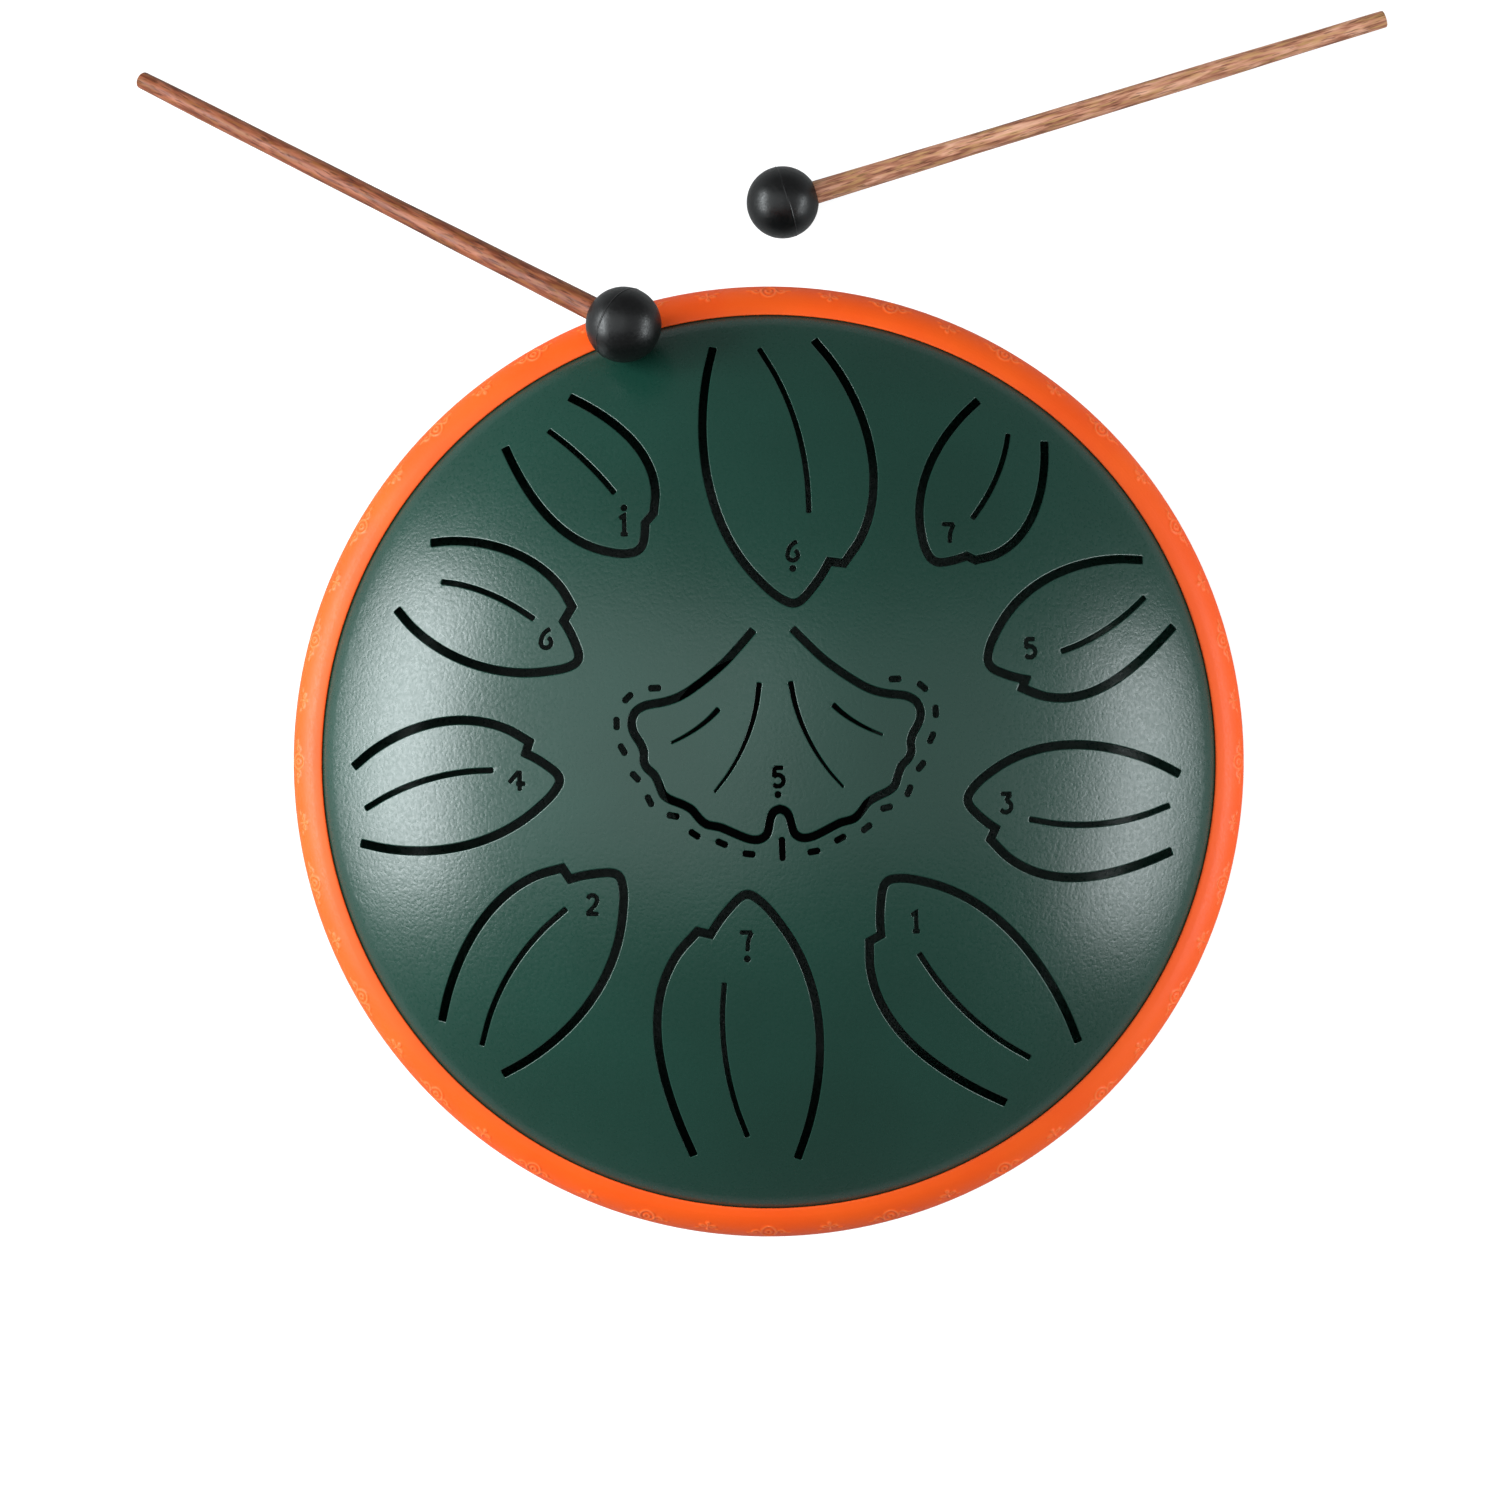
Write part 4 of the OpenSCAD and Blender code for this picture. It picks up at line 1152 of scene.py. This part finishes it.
groove = [(FOOT_FLOOR_R - GROOVE_INNER[0], -FOOT_H, GROOVE_ROUND),
          (FOOT_FLOOR_R - GROOVE_INNER[1], -FOOT_H + GROOVE_DEPTH, GROOVE_ROUND),
          (FOOT_FLOOR_R - GROOVE_OUTER[0], -FOOT_H + GROOVE_DEPTH, GROOVE_ROUND),
          (FOOT_FLOOR_R - GROOVE_OUTER[1], -FOOT_H, GROOVE_ROUND)]
foot_line = rounded([
    (SCREW_HOLE_R, -FOOT_H + RECESS_DEPTH, 0), (RECESS_R, -FOOT_H + RECESS_DEPTH, 0.3 * MM),
    (RECESS_R, -FOOT_H, 0.35 * MM), *groove, (FOOT_FLOOR_R - FOOT_CHAMFER, -FOOT_H, 0.35 * MM),
    (FOOT_FLOOR_R, -FOOT_H + FOOT_CHAMFER, 0.5 * MM), (FOOT_TOP_R, -FOOT_BELT, 0.2 * MM),
    (FOOT_TOP_R, 0, 0.25 * MM), (SCREW_HOLE_R, 0, 0), (SCREW_HOLE_R, -FOOT_H + RECESS_DEPTH, 0)])


def at_foot(k, points):
    x, y = foot_places[k]
    return [(px + x, py + y, pz) for px, py, pz in points]


points, faces = spin(foot_line, FOOT_STEPS)
for k in range(4):
    piece(f"rubber_foot_{k + 1}", at_foot(k, points), faces, foot_rubber, "drum",
          f"foot_{k + 1}")

# %% [markdown]
# The screw is a pan head with a thread beyond it. Its body is spun, and where the thread would be hidden by
# the foot and the bowl it is left plain. The head's crown is almost flat and falls away at its edge, as a
# cold-formed head does.

# %% The screw's line
SCREW_R, HEAD_R, HEAD_H = 2 * MM, 3.8 * MM, 2.4 * MM
HEAD_ROUND_STEPS = 6
WASHER_T, NUT_H, SCREW_END = 0.8 * MM, 3.2 * MM, 1.4 * MM
THREAD_PITCH, THREAD_DEPTH = 0.7 * MM, 0.3 * MM
# Shares of a pitch at which a crest ends, the root lies and the next crest begins
CREST_END, ROOT, NEXT_CREST = 0.15, 0.5, 0.85
TIP_LENGTH, TIP_SHOULDER, TIP_CHAMFER = 0.4 * MM, 0.1 * MM, 0.5 * MM

head_z = -FOOT_H + RECESS_DEPTH
end_z = SHEET + WASHER_T + NUT_H + SCREW_END


def thread(low, high):
    """The thread's line from low to high: a crest and a root in turn."""
    line, z = [], low
    while z + THREAD_PITCH <= high:
        line += [(SCREW_R, z + THREAD_PITCH * CREST_END), (SCREW_R - THREAD_DEPTH, z + THREAD_PITCH * ROOT),
                 (SCREW_R, z + THREAD_PITCH * NEXT_CREST)]
        z += THREAD_PITCH
    return line


# Shares of the head's radius and height at which its flat crown ends and its side begins
CROWN_R, CROWN_H, SIDE_H = 0.62, 0.99, 0.55
head_line = rounded([(0, head_z - HEAD_H, 0), (HEAD_R * CROWN_R, head_z - HEAD_H * CROWN_H, 1.6 * MM),
                     (HEAD_R, head_z - HEAD_H * SIDE_H, 0.9 * MM), (HEAD_R, head_z, 0.15 * MM),
                     (SCREW_R, head_z, 0.2 * MM), (SCREW_R, head_z + 1 * MM, 0)], HEAD_ROUND_STEPS)
screw_line = head_line + thread(SHEET, end_z - TIP_LENGTH) + [
    (SCREW_R - TIP_SHOULDER, end_z - TIP_LENGTH), (SCREW_R - TIP_CHAMFER, end_z), (0, end_z)]
print("screw:", round((end_z - head_z + HEAD_H) / MM, 1), "mm long")

# %% [markdown]
# The head's cross recess is cut by a small tapered cross with a Boolean. It is applied at once, so that no
# cutter stays in the scene. Each screw is left turned another way, as a driver leaves them.

# %% Screws
SCREW_STEPS, SCREW_TURN = 48, 1.0
CROSS_W, CROSS_LEN, CROSS_DEPTH = 0.9 * MM, 4 * MM, 1.3 * MM
CROSS_TAPER = 0.62


def cross_mesh():
    """Two crossed bars whose inner ends are narrower, standing through the top of the head."""
    work = bmesh.new()
    for turn in (0, pi / 2):
        bar = bmesh.ops.create_cube(work, size=1, matrix=Matrix.Rotation(turn, 4, "Z"))["verts"]
        for v in bar:
            deep = v.co.z > 0
            narrow = CROSS_TAPER if deep else 1.0
            flat = Matrix.Rotation(-turn, 3, "Z") @ Vector(v.co)
            flat = Vector((flat.x * CROSS_LEN * narrow, flat.y * CROSS_W * narrow,
                           head_z - HEAD_H + (CROSS_DEPTH if deep else -CROSS_DEPTH)))
            v.co = Matrix.Rotation(turn, 3, "Z") @ flat
    mesh = bpy.data.meshes.new("cross")
    work.to_mesh(mesh)
    work.free()
    return mesh


def cut_cross(target):
    """Cuts a cross recess into the head and applies it."""
    cutter = bpy.data.objects.new("cross", cross_mesh())
    bpy.context.scene.collection.objects.link(cutter)
    cutter.matrix_world = target.matrix_world.copy()
    cut = target.modifiers.new("cross", "BOOLEAN")
    cut.operation, cut.solver, cut.use_self, cut.object = "DIFFERENCE", "EXACT", True, cutter
    bpy.context.view_layer.update()
    done = bpy.data.meshes.new_from_object(target.evaluated_get(bpy.context.evaluated_depsgraph_get()))
    target.modifiers.clear()
    target.data = done
    done.set_sharp_from_angle(angle=radians(SHARP))
    bpy.data.objects.remove(cutter)


points, faces = spin(screw_line, SCREW_STEPS)
for k, (x, y) in enumerate(foot_places):
    matrix = Matrix.Translation((x, y, 0)) @ Matrix.Rotation(SCREW_TURN * k, 4, "Z")
    cut_cross(piece(f"screw_{k + 1}", points, faces, zinc_steel, "drum", f"foot_screw_{k + 1}",
                    matrix=matrix))

# %% [markdown]
# The washer is spun too. The nut is a hexagon whose corners are turned down at thirty degrees, so its rings
# follow the hexagon or the chamfer's cone, whichever is nearer the axis. Each nut is turned a little
# further than the one before, because no one lines them up.

# %% Washers and nuts
WASHER_R, WASHER_STEPS = 4.5 * MM, 64
NUT_CORNER_R, NUT_SIDE_STEPS = 4 * MM, 8
NUT_CHAMFER = radians(30)
NUT_FACE, NUT_SHARP, NUT_TURN = 0.97, 25, 0.4
BORE_GAP, MOUTH = 0.02 * MM, 0.3 * MM

washer_line = rounded([(SCREW_HOLE_R, SHEET, 0), (WASHER_R, SHEET, 0.15 * MM),
                       (WASHER_R, SHEET + WASHER_T, 0.25 * MM),
                       (SCREW_HOLE_R, SHEET + WASHER_T, 0.15 * MM), (SCREW_HOLE_R, SHEET, 0)])
washer_points, washer_faces = spin(washer_line, WASHER_STEPS)

nut_flat_r = NUT_CORNER_R * cos(pi / 6)
nut_turns = [2 * pi * k / (6 * NUT_SIDE_STEPS) for k in range(6 * NUT_SIDE_STEPS)]
hexagon = [nut_flat_r / cos((turn + pi / 6) % (pi / 3) - pi / 6) for turn in nut_turns]
drop = [max(0.0, radius - nut_flat_r * NUT_FACE) * tan(NUT_CHAMFER) for radius in hexagon]


def all_round(value):
    return [value] * len(nut_turns)


bore = all_round(SCREW_R + BORE_GAP)
mouth = all_round(SCREW_R + MOUTH)
flat_face = all_round(nut_flat_r * NUT_FACE)
nut_rings = [(bore, all_round(MOUTH)), (mouth, all_round(0.0)), (flat_face, all_round(0.0)), (hexagon, drop),
             (hexagon, [NUT_H - d for d in drop]), (flat_face, all_round(NUT_H)), (mouth, all_round(NUT_H)),
             (bore, all_round(NUT_H - MOUTH)), (bore, all_round(MOUTH))]
nut_points = [(r * cos(t), r * sin(t), SHEET + WASHER_T + z) for radii, ups in nut_rings
              for r, z, t in zip(radii, ups, nut_turns)]
nut_rows = [range(r * len(nut_turns), (r + 1) * len(nut_turns)) for r in range(len(nut_rings))]
nut_faces = [face for low, high in zip(nut_rows, nut_rows[1:]) for face in joined(low, high)]
for k in range(4):
    piece(f"washer_{k + 1}", at_foot(k, washer_points), washer_faces, zinc_steel, "drum",
          f"foot_washer_{k + 1}")
    turned = [tuple(Matrix.Rotation(NUT_TURN * k, 3, "Z") @ Vector(p)) for p in nut_points]
    piece(f"nut_{k + 1}", at_foot(k, turned), nut_faces, zinc_steel, "drum",
          f"foot_nut_{k + 1}", sharp=NUT_SHARP)

# %% [markdown]
# A mallet is a turned stick pressed into a moulded ball. Both are built lying along X with the middle of
# the ball at the origin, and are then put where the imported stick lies: the stick is round, so the long
# axis of its points is its own axis, and its thin end is the one farther from the ball.

# %% Where the mallets lie
STICK_REACH = 176 * MM
SAME_PLACE_DIGITS = 7


def mallet_place(side):
    """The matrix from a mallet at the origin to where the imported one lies."""
    packed = [v.co[:] for v in nodes[f"mallet_{side}_stick"].data.vertices]
    stick = np.unique(np.round(packed, SAME_PLACE_DIGITS), axis=0)
    middle = stick.mean(0)
    axis = Vector(np.linalg.svd(stick - middle)[2][0])
    low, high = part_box(f"mallet_{side}_head")
    if axis.dot(Vector(middle) - (low + high) / 2) < 0:
        axis = -axis
    tail = max((Vector(p) - Vector(middle)).dot(axis) for p in stick)
    ball = Vector(middle) + axis * (tail - STICK_REACH)
    side_on = Vector((0, 0, 1)).cross(axis).normalized()
    turned = Matrix((axis, side_on, axis.cross(side_on))).transposed().to_4x4()
    print("mallet", side, "ball at", [round(v / MM, 1) for v in ball])
    return Matrix.Translation(ball) @ turned


mallet_places = {side: mallet_place(side) for side in ("left", "right")}

# %% [markdown]
# The ball comes from a two-part mould, so a hair-thin raised line runs round it, square to the stick, and
# rubber closes round the stick in a short soft lip. The line gets its own close points, and the even ones
# near it are left out.

# %% Balls
BALL_R = 10 * MM
BALL_STEPS, BALL_TURNS = 128, 72
PARTING_HEIGHT, PARTING_HALF, PARTING_AT = 0.10 * MM, 0.30 * MM, 0.9 * MM
PARTING_TURNS, PARTING_CLEAR = 9, 1.2
STICK_HEAD_R = 3.2 * MM
SOCKET_R, SOCKET_DEPTH = STICK_HEAD_R + 0.02 * MM, 3 * MM
BALL_LIP_R = 3.9 * MM
# The lip's line, as (across, along X from where the lip's outer edge meets the ball)
LIP_LINE = ((SOCKET_R, -SOCKET_DEPTH), (SOCKET_R, 0.05 * MM), (STICK_HEAD_R + 0.25 * MM, 0.2 * MM),
            (BALL_LIP_R - 0.2 * MM, 0.12 * MM))
MALLET_SHARP = 50


def ball_line():
    """The ball's outline from the stick's socket to the far pole, as (across, along X)."""
    mouth = np.arcsin(BALL_LIP_R / BALL_R)
    line = [(across, BALL_R * cos(mouth) + along) for across, along in LIP_LINE]
    turns = np.linspace(mouth, pi, BALL_TURNS)
    turns = turns[np.abs(BALL_R * np.cos(turns) - PARTING_AT) > PARTING_CLEAR * PARTING_HALF]
    parting = np.arccos((PARTING_AT + np.linspace(-1, 1, PARTING_TURNS) * PARTING_HALF) / BALL_R)
    for turn in np.sort(np.append(turns, parting)):
        off = abs(BALL_R * cos(turn) - PARTING_AT)
        radius = BALL_R + PARTING_HEIGHT * max(0.0, 1 - off / PARTING_HALF)
        line.append((radius * sin(turn), radius * cos(turn)))
    return line


def lying_along_x(line, steps):
    """The spun line with its axis along X, and its faces facing out."""
    points, faces = spin(line, steps)
    return [(z, x, y) for x, y, z in points], turned_over(faces)


points, faces = lying_along_x(ball_line(), BALL_STEPS)
for side, matrix in mallet_places.items():
    piece(f"ball_{side}", points, faces, ball_rubber, f"mallet_{side}",
          f"mallet_{side}_head", sharp=MALLET_SHARP, matrix=matrix)

# %% [markdown]
# The stick is not a perfect cone: a hand-turned dowel swells and thins by a tenth of a millimetre along its
# length, which shows in the way its highlight wavers. Two waves of different lengths make that, they begin
# only where the stick leaves the ball, and each stick has its own. Its end is cut square and softened.

# %% Sticks
STICK_TAIL_R, STICK_DEPTH = 2.5 * MM, 14 * MM
STICK_RINGS, STICK_STEPS = 90, 64
TIP_FROM_END = 0.5 * MM
WAVE, LONG_WAVE, SHORT_WAVE, SHORT_SHARE = 0.05 * MM, 9, 23, 0.6
SANDED_OFF = 0.08 * MM
# The waves reach their full height after one part in so many of the stick's length
BEGINS = 8
# The soft end, as (in from the radius there, back from the stick's end)
SOFT_END = ((0.06 * MM, 0.28 * MM), (0.22 * MM, 0.09 * MM), (0.5 * MM, 0))
END_DISH = 0.02 * MM
# Where the waves start, and how much painted shade darkens the wood
STICKS = {"left": (0.4, 1.0), "right": (2.1, 0.0)}


def stick_line(seed):
    """The stick's outline from inside the ball to its end, as (across, along X)."""
    line = [(0, BALL_R - STICK_DEPTH), (STICK_HEAD_R, BALL_R - STICK_DEPTH)]
    for k in range(STICK_RINGS + 1):
        t = k / STICK_RINGS
        x = BALL_R + (STICK_REACH - TIP_FROM_END - BALL_R) * t
        radius = STICK_HEAD_R + (STICK_TAIL_R - STICK_HEAD_R) * t
        begun = min(1, BEGINS * t)
        wave = WAVE * (sin(LONG_WAVE * t + seed) + SHORT_SHARE * sin(SHORT_WAVE * t + 2 * seed)) * begun
        line.append((radius + wave - SANDED_OFF * begun, x))
    tip = line[-1][0]
    return line + [(tip - inwards, STICK_REACH - back) for inwards, back in SOFT_END] + [
        (tip / 2, STICK_REACH - END_DISH), (0, STICK_REACH)]


for side, (seed, painted_darkness) in STICKS.items():
    points, faces = lying_along_x(stick_line(seed), STICK_STEPS)
    stick = piece(f"stick_{side}", points, faces, stick_wood, f"mallet_{side}",
                  f"mallet_{side}_stick", sharp=MALLET_SHARP, matrix=mallet_places[side])
    # The number is how much painted shade darkens this stick's wood
    mark(stick, "painted_shade_share", [painted_darkness] * len(points))
